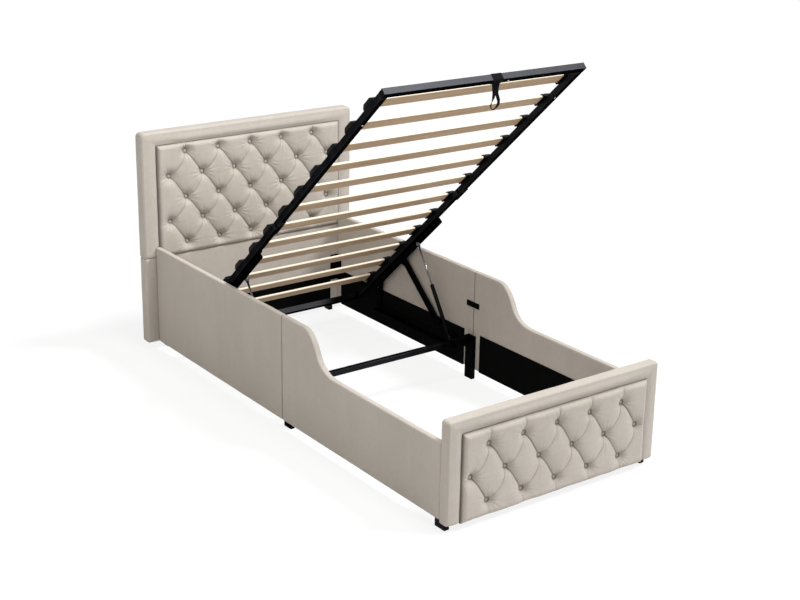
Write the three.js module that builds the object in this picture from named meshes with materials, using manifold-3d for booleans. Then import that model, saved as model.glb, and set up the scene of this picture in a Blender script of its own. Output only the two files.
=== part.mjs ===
import * as THREE from 'three';
import { mergeVertices } from 'three/addons/utils/BufferGeometryUtils.js';
import Module from 'manifold-3d';

// Single ottoman bed with tufted head and foot boards, its slatted platform raised on struts.
// Millimetres, +Z up, +Y towards the headboard, origin on the floor below the middle of the bed.
// Along the bed, "from head" means the distance from the front face of the headboard.

const wasm = await Module();
wasm.setup();

// Fits
const gap = 0.3;
const overrun = 5;
const weld = 0.0001;

// Rails
const boxLength = 2020;
const bedWidth = 970;
const railWall = 25;
const railBottom = 38;
const railTop = 471;
const railLowTop = 323.5;
const railSeam = 1025;
const railEdge = 5;
const sweepRun = 150;
const sweepLength = 210;

// Headboard
const headWidth = 1070;
const headThick = 55;
const headBottom = 36;
const headTop = 976;
const headSeam = 425;
const headSideBorder = 69;
const headTopBorder = 60;
const headRecess = 25;
const headEdge = 9;

// Footboard
const footThick = 42;
const footBottom = 30;
const footTop = 411;
const footSideBorder = 58;
const footTopBorder = 55;
const footRecess = 18;
const footEdge = 10;
const footPanelHang = 2;

// Tufting
const headTuftPitch = 162;
const headTuftRowPitch = 101.5;
const headTuftDrop = 39;
const headTuftBulge = 5;
const footTuftPitch = 154;
const footTuftRowPitch = 105.5;
const footTuftDrop = 64;
const footTuftBulge = 4;
const tuftFold = 9;
const tuftSink = 9;
const tuftSinkReach = 24;
const tuftEdgeReach = 24;
const tuftEdgeDrop = 11;
const buttonRadius = 10;
const buttonRise = 4;
const buttonRoot = 4;

// Linings, plates, legs and feet of the box
const liningThick = 3;
const liningTop = 203;
const liningEnd = 40;
const liningSeamRear = 55;
const liningSeamFront = 50;
const plateThick = 3;
const joinLength = 80;
const joinHeight = 24;
const joinBottom = 314;
const joinShift = 3;
const boltRadius = 6;
const boltHead = 3;
const joinBoltSpread = 50;
const cornerLeg = 38;
const cornerBottom = 155;
const cornerHeight = 122;
const cornerBoltSpread = 70;
const legWidth = 18;
const legLength = 47.5;
const legHeight = 190;
const legBack = 25.5;
const steelWall = 1.5;
const hookLength = 9;
const hookBottom = 133;
const hookHeight = 56;
const barWidth = 27;
const barHeight = 29;
const barBottom = 164;
const barShift = 11;
const headFootWidth = 20;
const headFootLength = 40;
const headFootInset = 97;
const headFootBack = 5;
const footFootWidth = 21;
const footFootInset = 13;
const footFootFront = 15;
const footFootRear = 39;

// Platform
const platformClearance = 8;
const platformLength = 1940;
const tubeSize = 25;
const platformSplice = 940;
const spliceLength = 91;
const spliceThick = 3;
const openTilt = THREE.MathUtils.degToRad(42.5);
const openFromHead = 1631.6000334116407;
const openHeight = 1422.8000027743808;
const closedFromHead = 1976;
const closedHeight = 199.5;

// Slats and their holders
const slatCount = 12;
const slatWidth = 52;
const slatThick = 10;
const slatFirst = 108;
const slatPitch = 150;
const slatLift = 2;
const holderBase = 74;
const holderTop = 44;
const holderRise = 20;
const holderReach = 47;
const pocketDepth = 25;

// Lifting mechanism, pivots on the platform measured from its foot end and below its tubes
const rearPivotAlong = 1722.8;
const rearPivotBelow = 24;
const frontPivotAlong = 1488.8;
const frontPivotBelow = 42;
const strutPivotAlong = 1324;
const strutPivotBelow = 30;
const rearPivotRise = 96.6;
const frontPivotRise = 287;
const strutFootSetback = 119;
const strutFootHeight = 149;
const basePlateThick = 3.5;
const armSideGap = 0.9;
const armDepth = 9;
const armWeb = 3;
const armRim = 2.5;
const armRadius = 15;
const linkRadius = 12;
const mountSideGap = 1;
const mountThick = 3.5;
const mountStart = 1134;
const mountEnd = 1790;
const mountDrop = 31;
const mountNose = 7;
const mountEarRadius = 14;
const pinRadius = 5;
const pinHeadRadius = 8;
const pinHeadThick = 2.7;
const rivetThick = 2;

// Base bracket
const bracketBottom = 105;
const bracketTop = 135;
const bracketFlange = 25;
const bracketHeadReach = 20;
const bracketFootReach = 22;
const earRadius = 15;
const earSlope = 34;
const strutEarHeight = 18;
const strutEarLength = 56;

// Struts
const strutSideGap = 2;
const strutRadius = 8.5;
const strutEyeRadius = 9;
const strutEyeWidth = 12;
const strutBodyStart = 13;
const strutBodyLength = 227;
const strutBoreStart = 50;
const strutNeckLength = 8;
const strutNeckRadius = 6;
const rodRadius = 4;
const rodLength = 200;
const rodCollarLength = 9;
const rodCollarRadius = 6;
const studRadius = 4;

// Pull strap
const strapWidth = 45;
const strapOffset = 36.5;
const strapThick = 1.7;
const neckWidth = 25;
const neckThick = 3;
const neckLength = 36;
const loopWidth = 44;
const loopHeight = 52;
const loopDepth = 20;
const loopThick = 2.4;
const loopWaistShare = 0.55;
const loopFlatShare = 0.2;
const loopCornerShare = 1.2;

// Roundness of the curved pieces
const pinSides = 20;
const bevelSteps = 3;
const sweepSteps = 9;

// Derived places shared by the pieces
const bedLength = headThick + boxLength + footThick + footTuftBulge;
const headFaceY = bedLength / 2 - headThick;
const sweepStart = railSeam + sweepRun;
const strutFootFromHead = railSeam - strutFootSetback;
const railInner = bedWidth / 2 - railWall;
const liningInner = railInner - gap - liningThick;
const bracketOuter = liningInner - gap;
const bracketInner = bracketOuter - basePlateThick;
const armOuter = bracketInner - armSideGap;
const armInner = armOuter - armDepth;
const mountOuter = armInner - mountSideGap;
const mountInner = mountOuter - mountThick;
const strutCentre = mountInner - strutSideGap - strutRadius;
const platformHalf = railInner - platformClearance;
const tubeInnerFace = platformHalf - tubeSize;

// Colours
const velvet = new THREE.Color(0.66, 0.62, 0.56);
const blackSteel = new THREE.Color(0.03, 0.03, 0.035);
const blackBoard = new THREE.Color(0.02, 0.02, 0.02);
const beech = new THREE.Color(0.74, 0.6, 0.45);
const chrome = new THREE.Color(0.8, 0.8, 0.82);

function cloth() {
  return new THREE.MeshStandardMaterial({ color: velvet, roughness: 0.9, metalness: 0 });
}

function steel() {
  return new THREE.MeshStandardMaterial({ color: blackSteel, roughness: 0.45, metalness: 0.6 });
}

function board() {
  return new THREE.MeshStandardMaterial({ color: blackBoard, roughness: 0.8, metalness: 0 });
}

function timber() {
  return new THREE.MeshStandardMaterial({ color: beech, roughness: 0.6, metalness: 0 });
}

// A closed solid from any geometry: vertices are merged and collapsed faces dropped.
function toSolid(geometry) {
  const bare = geometry.clone();
  bare.deleteAttribute('normal');
  bare.deleteAttribute('uv');
  const welded = mergeVertices(bare, weld);
  const source = welded.index.array;
  const faces = [];
  for (let i = 0; i < source.length; i += 3) {
    const [a, b, c] = [source[i], source[i + 1], source[i + 2]];
    if (a !== b && b !== c && c !== a) {
      faces.push(a, b, c);
    }
  }
  return new wasm.Manifold(new wasm.Mesh({
    numProp: 3,
    vertProperties: new Float32Array(welded.attributes.position.array),
    triVerts: new Uint32Array(faces),
  }));
}

// The geometry of a solid; side -1 gives its mirror image across the bed.
function toGeometry(solid, side = 1) {
  const { vertProperties, triVerts } = solid.getMesh();
  const positions = Float32Array.from(vertProperties);
  const faces = Uint32Array.from(triVerts);
  if (side < 0) {
    for (let i = 0; i < positions.length; i += 3) {
      positions[i] = -positions[i];
    }
    for (let i = 0; i < faces.length; i += 3) {
      [faces[i + 1], faces[i + 2]] = [faces[i + 2], faces[i + 1]];
    }
  }
  const geometry = new THREE.BufferGeometry();
  geometry.setAttribute('position', new THREE.BufferAttribute(positions, 3));
  geometry.setIndex(new THREE.BufferAttribute(faces, 1));
  geometry.computeVertexNormals();
  return geometry;
}

function joined(first, ...others) {
  return others.reduce((whole, next) => whole.add(next), first);
}

function cut(first, ...others) {
  return others.reduce((whole, next) => whole.subtract(next), first);
}

// A box between two corners given as [x, from head, z].
function box([x0, h0, z0], [x1, h1, z1]) {
  const geometry = new THREE.BoxGeometry(Math.abs(x1 - x0), Math.abs(h1 - h0), Math.abs(z1 - z0));
  geometry.translate((x0 + x1) / 2, -(h0 + h1) / 2, (z0 + z1) / 2);
  return toSolid(geometry);
}

// A round bar across the bed from x0 to x1, centred on [from head, z].
function crossPin(radius, x0, x1, [h, z], sides = pinSides) {
  const geometry = new THREE.CylinderGeometry(radius, radius, Math.abs(x1 - x0), sides);
  geometry.rotateZ(Math.PI / 2);
  geometry.translate((x0 + x1) / 2, -h, z);
  return toSolid(geometry);
}

// A round bar along the bed from h0 to h1, centred on [x, z].
function longRod(radius, h0, h1, [x, z] = [0, 0], sides = pinSides) {
  const geometry = new THREE.CylinderGeometry(radius, radius, Math.abs(h1 - h0), sides);
  geometry.translate(x, -(h0 + h1) / 2, z);
  return toSolid(geometry);
}

// Turns an extrusion so that its outline lies in the side view and its depth runs across the bed.
const sideView = new THREE.Matrix4().makeBasis(
  new THREE.Vector3(0, 1, 0),
  new THREE.Vector3(0, 0, 1),
  new THREE.Vector3(1, 0, 0),
);

function outlineShape(points) {
  return new THREE.Shape(points.map(([h, z]) => new THREE.Vector2(-h, z)));
}

// A plate whose outline is [from head, z], from x0 to x1, its edges rounded by a radius.
function sidePlate(points, x0, x1, rounding = 0) {
  const geometry = new THREE.ExtrudeGeometry(outlineShape(points), {
    depth: Math.abs(x1 - x0) - 2 * rounding,
    bevelEnabled: rounding > 0,
    bevelThickness: rounding,
    bevelSize: rounding,
    bevelOffset: -rounding,
    bevelSegments: bevelSteps,
    steps: 1,
    curveSegments: pinSides,
  });
  geometry.applyMatrix4(sideView);
  geometry.translate(Math.min(x0, x1) + rounding, 0, 0);
  return toSolid(geometry);
}

// A board facing the foot: width and height spans, from its front face back by a thickness.
function frontBoard([x0, x1], [z0, z1], frontFromHead, thick, rounding) {
  const shape = new THREE.Shape([
    new THREE.Vector2(x0, z0),
    new THREE.Vector2(x1, z0),
    new THREE.Vector2(x1, z1),
    new THREE.Vector2(x0, z1),
  ]);
  const geometry = new THREE.ExtrudeGeometry(shape, {
    depth: thick - 2 * rounding,
    bevelEnabled: true,
    bevelThickness: rounding,
    bevelSize: rounding,
    bevelOffset: -rounding,
    bevelSegments: bevelSteps,
    steps: 1,
  });
  geometry.rotateX(Math.PI / 2);
  geometry.translate(0, -(frontFromHead - thick + rounding), 0);
  return toSolid(geometry);
}

// A slot outline with round ends, from the origin along the bed.
function slotOutline(length, radius, sides = pinSides) {
  const half = sides / 2;
  const points = [];
  for (let i = 0; i <= half; i += 1) {
    const turn = Math.PI / 2 + (Math.PI * i) / half;
    points.push([radius * Math.cos(turn), radius * Math.sin(turn)]);
  }
  for (let i = 0; i <= half; i += 1) {
    const turn = -Math.PI / 2 + (Math.PI * i) / half;
    points.push([length + radius * Math.cos(turn), radius * Math.sin(turn)]);
  }
  return points;
}

// A plate around points given as [from head, z], from x0 to x1.
function hullPlate(points, x0, x1) {
  const corners = points.flatMap(([h, z]) => [[x0, -h, z], [x1, -h, z]]);
  return wasm.Manifold.hull(corners);
}

// A hollow bar across the bed: spans across, from head and up.
function crossTube([x0, x1], [h0, h1], [z0, z1]) {
  const wall = steelWall;
  return cut(
    box([x0, h0, z0], [x1, h1, z1]),
    box([x0 - overrun, h0 + wall, z0 + wall], [x1 + overrun, h1 - wall, z1 - wall]),
  );
}

const bed = new THREE.Group();
const base = new THREE.Group();
base.position.set(0, headFaceY, 0);
bed.add(base);

const sides = [['left', -1], ['right', 1]];

function addMesh(parent, name, geometry, material) {
  const mesh = new THREE.Mesh(geometry, material);
  mesh.name = name;
  parent.add(mesh);
  return mesh;
}

// Adds the right-hand piece and its mirror image.
function addPair(name, solid, material) {
  for (const [word, side] of sides) {
    addMesh(base, `${name}_${word}`, toGeometry(solid, side), material());
  }
}

// Tufted panels. The surface is A and B, two families of slanting folds that cross at the buttons:
// A = x / pitch + row, B = x / pitch - row, where row counts half steps down from the first row.
// Between folds it swells by the square root of the sines; past the last buttons the folds run
// straight to the edge, and each button sinks into a round dimple.
function tuftHeight(x, z, panel) {
  const first = panel.height - panel.drop;
  const last = first - (panel.rows - 1) * panel.rowPitch;
  const reach = (panel.wideCount - 1) / 2;
  const across = THREE.MathUtils.clamp(x / panel.pitch, -reach, reach);
  const row = (THREE.MathUtils.clamp(z, last, first) - first) / (2 * panel.rowPitch);
  const a = Math.abs(Math.sin(Math.PI * (across + row + panel.phase)));
  const b = Math.abs(Math.sin(Math.PI * (across - row + panel.phase)));
  const swell = Math.pow(a * b, 0.4);
  let height = panel.bulge - tuftFold * (1 - swell);
  for (const [bx, bz] of panel.buttons) {
    const away = Math.hypot(x - bx, z - bz) / tuftSinkReach;
    height -= tuftSink * Math.exp(-2 * away * away) * (away < 2 ? 1 : 0);
  }
  const edge = Math.min(panel.width / 2 - Math.abs(x), panel.height - z, z);
  const inward = THREE.MathUtils.clamp(edge / tuftEdgeReach, 0, 1);
  return height - tuftEdgeDrop * (1 - inward) * (1 - inward);
}

// Rows of buttons, every second one shifted by half a pitch; those past the edge are left out.
function tuftButtons({ rows, wideCount, wideFirst, pitch, rowPitch, width, height, drop }) {
  const places = [];
  for (let row = 0; row < rows; row += 1) {
    const wide = (row % 2 === 0) === wideFirst;
    const count = wide ? wideCount : wideCount - 1;
    for (let i = 0; i < count; i += 1) {
      places.push([(i - (count - 1) / 2) * pitch, height - drop - row * rowPitch]);
    }
  }
  return places.filter(([x, z]) => Math.min(width / 2 - Math.abs(x), z, height - z) > buttonRadius);
}

function breaks(low, high, start, step) {
  const values = [low];
  for (let i = Math.ceil((low - start) / step); start + i * step < high; i += 1) {
    const value = start + i * step;
    if (value - low > step / 3 && high - value > step / 3) {
      values.push(value);
    }
  }
  values.push(high);
  return values;
}

// A closed panel: x across, z up from its lower edge, y towards the back by its depth.
function tuftedPanel(sizes) {
  const panel = { ...sizes };
  panel.buttons = tuftButtons(panel);
  panel.phase = panel.wideFirst === (panel.wideCount % 2 === 1) ? 0 : 0.5;
  const xs = breaks(-panel.width / 2, panel.width / 2, 0, panel.pitch / 6);
  const zs = breaks(0, panel.height, panel.height - panel.drop, panel.rowPitch / 3);
  const positions = [];
  for (const z of zs) {
    for (const x of xs) {
      positions.push(x, -tuftHeight(x, z, panel), z);
    }
  }
  const at = (i, j) => j * xs.length + i;
  const faces = [];
  for (let j = 0; j + 1 < zs.length; j += 1) {
    for (let i = 0; i + 1 < xs.length; i += 1) {
      const across = (xs[i] + xs[i + 1]) / 2 / panel.pitch + panel.phase;
      const row = ((zs[j] + zs[j + 1]) / 2 - panel.height + panel.drop) / (2 * panel.rowPitch);
      const risesRight = Math.abs(Math.sin(Math.PI * (across - row)))
        < Math.abs(Math.sin(Math.PI * (across + row)));
      const [p, q, r, s] = [at(i, j), at(i + 1, j), at(i + 1, j + 1), at(i, j + 1)];
      faces.push(...(risesRight ? [p, q, r, p, r, s] : [p, q, s, q, r, s]));
    }
  }
  const rim = [];
  for (let i = 0; i < xs.length; i += 1) rim.push(at(i, 0));
  for (let j = 1; j < zs.length; j += 1) rim.push(at(xs.length - 1, j));
  for (let i = xs.length - 2; i >= 0; i -= 1) rim.push(at(i, zs.length - 1));
  for (let j = zs.length - 2; j > 0; j -= 1) rim.push(at(0, j));
  const backStart = positions.length / 3;
  const backOutline = rim.map((v) => new THREE.Vector2(positions[3 * v], positions[3 * v + 2]));
  for (const { x, y } of backOutline) {
    positions.push(x, panel.depth, y);
  }
  rim.forEach((v, k) => {
    const next = (k + 1) % rim.length;
    faces.push(v, backStart + k, backStart + next, v, backStart + next, rim[next]);
  });
  for (const [a, b, c] of THREE.ShapeUtils.triangulateShape(backOutline, [])) {
    faces.push(backStart + a, backStart + c, backStart + b);
  }
  const geometry = new THREE.BufferGeometry();
  geometry.setAttribute('position', new THREE.Float32BufferAttribute(positions, 3));
  geometry.setIndex(faces);
  let solid = toSolid(geometry);
  for (const [x, z] of panel.buttons) {
    const seat = tuftHeight(x, z, panel);
    const profile = [
      new THREE.Vector2(0, -buttonRoot),
      new THREE.Vector2(buttonRadius, -buttonRoot),
      new THREE.Vector2(buttonRadius, buttonRise / 2),
      new THREE.Vector2(0, buttonRise),
    ];
    const button = new THREE.LatheGeometry(profile, 8);
    button.rotateX(Math.PI);
    button.translate(x, -seat, z);
    solid = solid.add(toSolid(button));
  }
  return solid;
}

// Headboard: a padded upper frame round the tufted panel, standing on a plain padded base.
const headPanelWidth = headWidth - 2 * headSideBorder;
const headPanelTop = headTop - headTopBorder;
const headSeamTop = headSeam + gap / 2;
const headSeamBottom = headSeam - gap / 2;
const headFrame = cut(
  frontBoard([-headWidth / 2, headWidth / 2], [headSeamTop, headTop], 0, headThick, headEdge),
  box(
    [-headPanelWidth / 2, overrun + headTuftBulge, headSeamTop - overrun],
    [headPanelWidth / 2, -headRecess, headPanelTop],
  ),
);
addMesh(base, 'headboard_frame', toGeometry(headFrame), cloth());

const headPanel = addMesh(base, 'headboard_tufted_panel', toGeometry(tuftedPanel({
  width: headPanelWidth - 2 * gap,
  height: headPanelTop - headSeamTop - gap,
  depth: headRecess - gap,
  rows: 5,
  wideCount: 6,
  wideFirst: false,
  pitch: headTuftPitch,
  rowPitch: headTuftRowPitch,
  drop: headTuftDrop - gap,
  bulge: headTuftBulge,
})), cloth());
headPanel.position.set(0, 0, headSeamTop);

addMesh(base, 'headboard_base', toGeometry(
  frontBoard([-headWidth / 2, headWidth / 2], [headBottom, headSeamBottom], 0, headThick, headEdge),
), cloth());

const endLiningHalf = railInner - gap - cornerLeg - gap;
addMesh(base, 'headboard_lining', toGeometry(
  box([-endLiningHalf, gap, railBottom], [endLiningHalf, gap + liningThick, liningTop]),
), board());

const headFootOuter = headWidth / 2 - headFootInset;
addPair('headboard_foot', box(
  [headFootOuter - headFootWidth, -headFootBack, 0],
  [headFootOuter, -headFootBack - headFootLength, headBottom - gap],
), steel);

// Footboard: a lower padded frame, open below, with its own tufted panel facing out.
const footPanelWidth = bedWidth - 2 * footSideBorder;
const footPanelTop = footTop - footTopBorder;
const footFace = boxLength + footThick;
const footPanelBottom = footBottom - footPanelHang;
const footFrame = cut(
  frontBoard([-bedWidth / 2, bedWidth / 2], [footBottom, footTop], footFace, footThick, footEdge),
  box(
    [-footPanelWidth / 2, footFace - footRecess, footBottom - overrun],
    [footPanelWidth / 2, footFace + overrun, footPanelTop],
  ),
);
addMesh(base, 'footboard_frame', toGeometry(footFrame), cloth());

const footPanel = addMesh(base, 'footboard_tufted_panel', toGeometry(tuftedPanel({
  width: footPanelWidth - 2 * gap,
  height: footPanelTop - footPanelBottom - gap,
  depth: footRecess - gap,
  rows: 3,
  wideCount: 6,
  wideFirst: false,
  pitch: footTuftPitch,
  rowPitch: footTuftRowPitch,
  drop: footTuftDrop - gap,
  bulge: footTuftBulge,
})), cloth());
footPanel.position.set(0, -footFace, footPanelBottom);

addMesh(base, 'footboard_lining', toGeometry(box(
  [-endLiningHalf, boxLength - gap - liningThick, railBottom],
  [endLiningHalf, boxLength - gap, liningTop],
)), board());

const footFootOuter = bedWidth / 2 - footFootInset;
addPair('footboard_foot', joined(
  box(
    [footFootOuter - footFootWidth, boxLength - footFootRear, 0],
    [footFootOuter, boxLength - gap, railBottom - gap],
  ),
  box(
    [footFootOuter - footFootWidth, boxLength - footFootRear, 0],
    [footFootOuter, boxLength + footFootFront, footBottom - gap],
  ),
), steel);

// Side rails in two lengths; the front ones drop in a long sweep to the low side.
const sweepDrop = railTop - railLowTop;
const sweepShares = {
  upper: [[0, 0], [0.22, 0], [0.365, 0.335], [0.44, 0.56]],
  lower: [[0.44, 0.56], [0.535, 0.845], [0.74, 1], [1, 1]],
};

function sweepPoint([alongShare, dropShare]) {
  return new THREE.Vector2(sweepStart + alongShare * sweepLength, railTop - dropShare * sweepDrop);
}

function sweepPoints() {
  const upper = new THREE.CubicBezierCurve(...sweepShares.upper.map(sweepPoint));
  const lower = new THREE.CubicBezierCurve(...sweepShares.lower.map(sweepPoint));
  const points = [...upper.getPoints(sweepSteps), ...lower.getPoints(sweepSteps).slice(1)];
  return points.map(({ x, y }) => [x, y]);
}

addPair('rail_rear', sidePlate([
  [gap, railBottom],
  [railSeam - gap / 2, railBottom],
  [railSeam - gap / 2, railTop],
  [gap, railTop],
], railInner, bedWidth / 2, railEdge), cloth);

addPair('rail_front', sidePlate([
  [railSeam + gap / 2, railBottom],
  [boxLength - gap, railBottom],
  [boxLength - gap, railLowTop],
  ...sweepPoints().reverse(),
  [railSeam + gap / 2, railTop],
], railInner, bedWidth / 2, railEdge), cloth);

addPair('rail_lining_rear', box(
  [liningInner, liningEnd, railBottom],
  [railInner - gap, railSeam - liningSeamRear, liningTop],
), board);

addPair('rail_lining_front', box(
  [liningInner, railSeam + liningSeamFront, railBottom],
  [railInner - gap, boxLength - liningEnd, liningTop],
), board);

// Joining plates across the seam of the rails, each with two bolt heads.
const joinMiddle = railSeam - joinShift;
const joinCentreZ = joinBottom + joinHeight / 2;
const joinInner = railInner - gap - plateThick;
addPair('joining_plate', joined(
  box(
    [joinInner, joinMiddle - joinLength / 2, joinBottom],
    [railInner - gap, joinMiddle + joinLength / 2, joinBottom + joinHeight],
  ),
  ...[-1, 1].map((end) => crossPin(
    boltRadius,
    joinInner - boltHead,
    joinInner + plateThick / 2,
    [joinMiddle + (end * joinBoltSpread) / 2, joinCentreZ],
    6,
  )),
), steel);

// Middle legs against the rails under the seam, with the hooks that the cross bar hangs in.
const legStart = railSeam - legBack;
const legOuter = railInner - gap;
const hookMiddle = hookBottom + hookHeight / 2;
addPair('middle_leg', joined(
  cut(
    box([legOuter - legWidth, legStart, 0], [legOuter, legStart + legLength, legHeight]),
    box(
      [legOuter - legWidth + steelWall, legStart + steelWall, -overrun],
      [legOuter - steelWall, legStart + legLength - steelWall, legHeight - steelWall],
    ),
  ),
  box(
    [legOuter - legWidth, legStart - hookLength, hookBottom],
    [legOuter - legWidth / 2, legStart + steelWall, hookMiddle + hookHeight / 4],
  ),
  crossPin(
    hookLength,
    legOuter - legWidth,
    legOuter - legWidth / 2,
    [legStart, hookBottom + hookHeight - hookLength],
  ),
), steel);

const barMiddle = legStart + barShift + barWidth / 2;
const barEnd = legOuter - legWidth - gap;
const crossBar = addMesh(base, 'cross_bar', toGeometry(crossTube(
  [-barEnd, barEnd],
  [-barWidth / 2, barWidth / 2],
  [0, barHeight],
)), steel());
crossBar.position.set(0, -barMiddle, barBottom);

// Angle brackets in the four inner corners.
function cornerBracket(towardsFoot) {
  const face = towardsFoot > 0 ? gap : boxLength - gap;
  const reach = face + towardsFoot * cornerLeg;
  const inner = railInner - gap - plateThick;
  const top = cornerBottom + cornerHeight;
  const middle = (face + reach) / 2;
  const bolts = [-1, 1].map((end) => crossPin(
    boltRadius,
    inner - boltHead,
    inner + plateThick / 2,
    [middle, cornerBottom + cornerHeight / 2 + (end * cornerBoltSpread) / 2],
    6,
  ));
  return joined(
    box([inner, face, cornerBottom], [railInner - gap, reach, top]),
    box(
      [railInner - gap - cornerLeg, face, cornerBottom],
      [railInner - gap, face + towardsFoot * plateThick, top],
    ),
    ...bolts,
  );
}
addPair('corner_bracket_head', cornerBracket(1), steel);
addPair('corner_bracket_foot', cornerBracket(-1), steel);

// Places of the mechanism in the side view, as [from head, z], platform raised and lowered.
const raisedAlong = [-Math.cos(openTilt), -Math.sin(openTilt)];
const raisedUp = [-Math.sin(openTilt), Math.cos(openTilt)];

function raisedPlace(along, below) {
  return [
    openFromHead + along * raisedAlong[0] - below * raisedUp[0],
    openHeight + along * raisedAlong[1] - below * raisedUp[1],
  ];
}

function loweredPlace(along, below) {
  return [closedFromHead - along, closedHeight - below];
}

// A fixed pivot lies on the middle line between the two ends of its moving pivot's travel.
function fixedPivot(along, below, rise) {
  const raised = raisedPlace(along, below);
  const lowered = loweredPlace(along, below);
  const travel = [raised[0] - lowered[0], raised[1] - lowered[1]];
  const length = Math.hypot(...travel);
  return [
    (raised[0] + lowered[0]) / 2 + (travel[1] / length) * rise,
    (raised[1] + lowered[1]) / 2 - (travel[0] / length) * rise,
  ];
}

const frontRaised = raisedPlace(frontPivotAlong, frontPivotBelow);
const rearRaised = raisedPlace(rearPivotAlong, rearPivotBelow);
const strutRaised = raisedPlace(strutPivotAlong, strutPivotBelow);
const frontFixed = fixedPivot(frontPivotAlong, frontPivotBelow, frontPivotRise);
const rearFixed = fixedPivot(rearPivotAlong, rearPivotBelow, rearPivotRise);
const strutFixed = [strutFootFromHead, strutFootHeight];

function span(from, to) {
  return Math.hypot(to[0] - from[0], to[1] - from[1]);
}

function slope(from, to) {
  return Math.atan2(to[1] - from[1], to[0] - from[0]);
}

// A group at a pivot whose length runs along its own from-head direction.
function pivotGroup(place, angle) {
  const group = new THREE.Group();
  group.position.set(0, -place[0], place[1]);
  group.rotation.x = -angle;
  base.add(group);
  return group;
}

function addMovingPair(name, place, angle, solid, material) {
  for (const [word, side] of sides) {
    addMesh(pivotGroup(place, angle), `${name}_${word}`, toGeometry(solid, side), material());
  }
}

// Base brackets: an angle along the rail with upright ears for the two arms and the strut.
const [rearH, rearZ] = rearFixed;
const [frontH, frontZ] = frontFixed;
const [strutH, strutZ] = strutFixed;
const bracketStart = Math.min(rearH, frontH, strutH) - bracketHeadReach;
const bracketEnd = Math.max(rearH, frontH, strutH) + bracketFootReach;
const rearEarTop = rearZ + earRadius;
const frontEarTop = frontZ + earRadius;
const strutEarTop = strutZ + strutEarHeight;
const strutEarStart = strutH - strutEarLength;

// The lower corners of an ear that reach round its pivot.
function earFoot([h, z]) {
  return [[h - earRadius / 2, z - earRadius], [h + earRadius / 2, z - earRadius]];
}

const bracketStrip = [
  [bracketStart, bracketBottom],
  [bracketEnd, bracketBottom],
  [bracketEnd, bracketTop],
  [bracketStart, bracketTop],
];
const strutEar = [
  ...earFoot(strutFixed),
  [strutEarStart, bracketBottom],
  [strutH + bracketFootReach, bracketBottom],
  [strutH + bracketFootReach, strutEarTop],
  [strutEarStart, strutEarTop],
];
const frontEar = [
  ...earFoot(frontFixed),
  [frontH - earRadius - earSlope, bracketBottom],
  [strutEarStart, bracketBottom],
  [strutEarStart, strutEarTop],
  [frontH + earRadius, frontEarTop],
  [frontH - earRadius, frontEarTop],
  [frontH - earRadius - earSlope, bracketTop],
];
const rearEar = [
  ...earFoot(rearFixed),
  [rearH - bracketHeadReach, bracketBottom],
  [rearH + earRadius + earSlope / 2, bracketBottom],
  [rearH + earRadius + earSlope / 2, bracketTop],
  [rearH + earRadius / 2, rearEarTop],
  [rearH - earRadius / 2, rearEarTop],
  [rearH - bracketHeadReach, bracketTop],
];
const pinInner = armOuter - armWeb - gap;
const strutEyeOuter = strutCentre + strutEyeWidth / 2;
const strutEyeInner = strutCentre - strutEyeWidth / 2;
addPair('base_bracket', joined(
  ...[bracketStrip, strutEar, frontEar, rearEar].map((points) => (
    hullPlate(points, bracketInner, bracketOuter)
  )),
  box(
    [bracketOuter - bracketFlange, bracketStart, bracketBottom],
    [bracketOuter, bracketEnd, bracketBottom + basePlateThick],
  ),
  crossPin(pinRadius, pinInner, bracketOuter - gap, rearFixed),
  crossPin(pinHeadRadius, pinInner - pinHeadThick, pinInner, rearFixed),
  crossPin(pinRadius, pinInner, bracketOuter - gap, frontFixed),
  crossPin(pinHeadRadius, pinInner - pinHeadThick, pinInner, frontFixed),
  crossPin(pinHeadRadius, strutEyeOuter + gap, bracketOuter - gap, strutFixed),
  crossPin(studRadius, strutEyeInner - gap, strutEyeOuter + pinHeadThick, strutFixed),
  crossPin(pinHeadRadius, strutEyeInner - gap - pinHeadThick, strutEyeInner - gap, strutFixed),
), steel);

// Pressed arms: a slot-shaped dish, its rim towards the middle of the bed.
function pressedArm(length, radius, holes, rivets) {
  const cavity = sidePlate(slotOutline(length, radius - armRim), armInner - overrun, armOuter - armWeb);
  const blank = sidePlate(slotOutline(length, radius), armInner, armOuter);
  const bores = holes.map((h) => crossPin(
    pinRadius + gap,
    armInner - overrun,
    armOuter + overrun,
    [h, 0],
  ));
  const heads = rivets.map((h) => crossPin(
    pinRadius,
    armOuter - armWeb - pinHeadThick,
    armOuter - armWeb / 2,
    [h, 0],
  ));
  return joined(cut(blank, cavity, ...bores), ...heads);
}

const armLength = span(frontFixed, frontRaised);
const linkLength = span(rearFixed, rearRaised);
addMovingPair(
  'front_arm',
  frontFixed,
  slope(frontFixed, frontRaised),
  pressedArm(armLength, armRadius, [0, armLength], []),
  steel,
);
addMovingPair(
  'rear_link',
  rearFixed,
  slope(rearFixed, rearRaised),
  pressedArm(linkLength, linkRadius, [0], [linkLength]),
  steel,
);

// Struts: a black cylinder on the fixed stud and a bright rod that slides out of it.
const strutLength = span(strutFixed, strutRaised);
const strutAngle = slope(strutFixed, strutRaised);
const strutBodyEnd = strutBodyStart + strutBodyLength;
const strutPlace = [strutCentre, 0];
addMovingPair('strut_cylinder', strutFixed, strutAngle, cut(
  joined(
    crossPin(strutEyeRadius, strutEyeInner, strutEyeOuter, [0, 0]),
    longRod(strutNeckRadius, strutEyeRadius / 2, strutBodyStart + strutNeckLength, strutPlace),
    longRod(strutRadius, strutBodyStart, strutBodyEnd, strutPlace),
  ),
  crossPin(studRadius + gap, strutEyeInner - overrun, strutEyeOuter + overrun, [0, 0]),
  longRod(rodRadius + gap, strutBoreStart, strutBodyEnd + overrun, strutPlace),
), steel);

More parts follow.
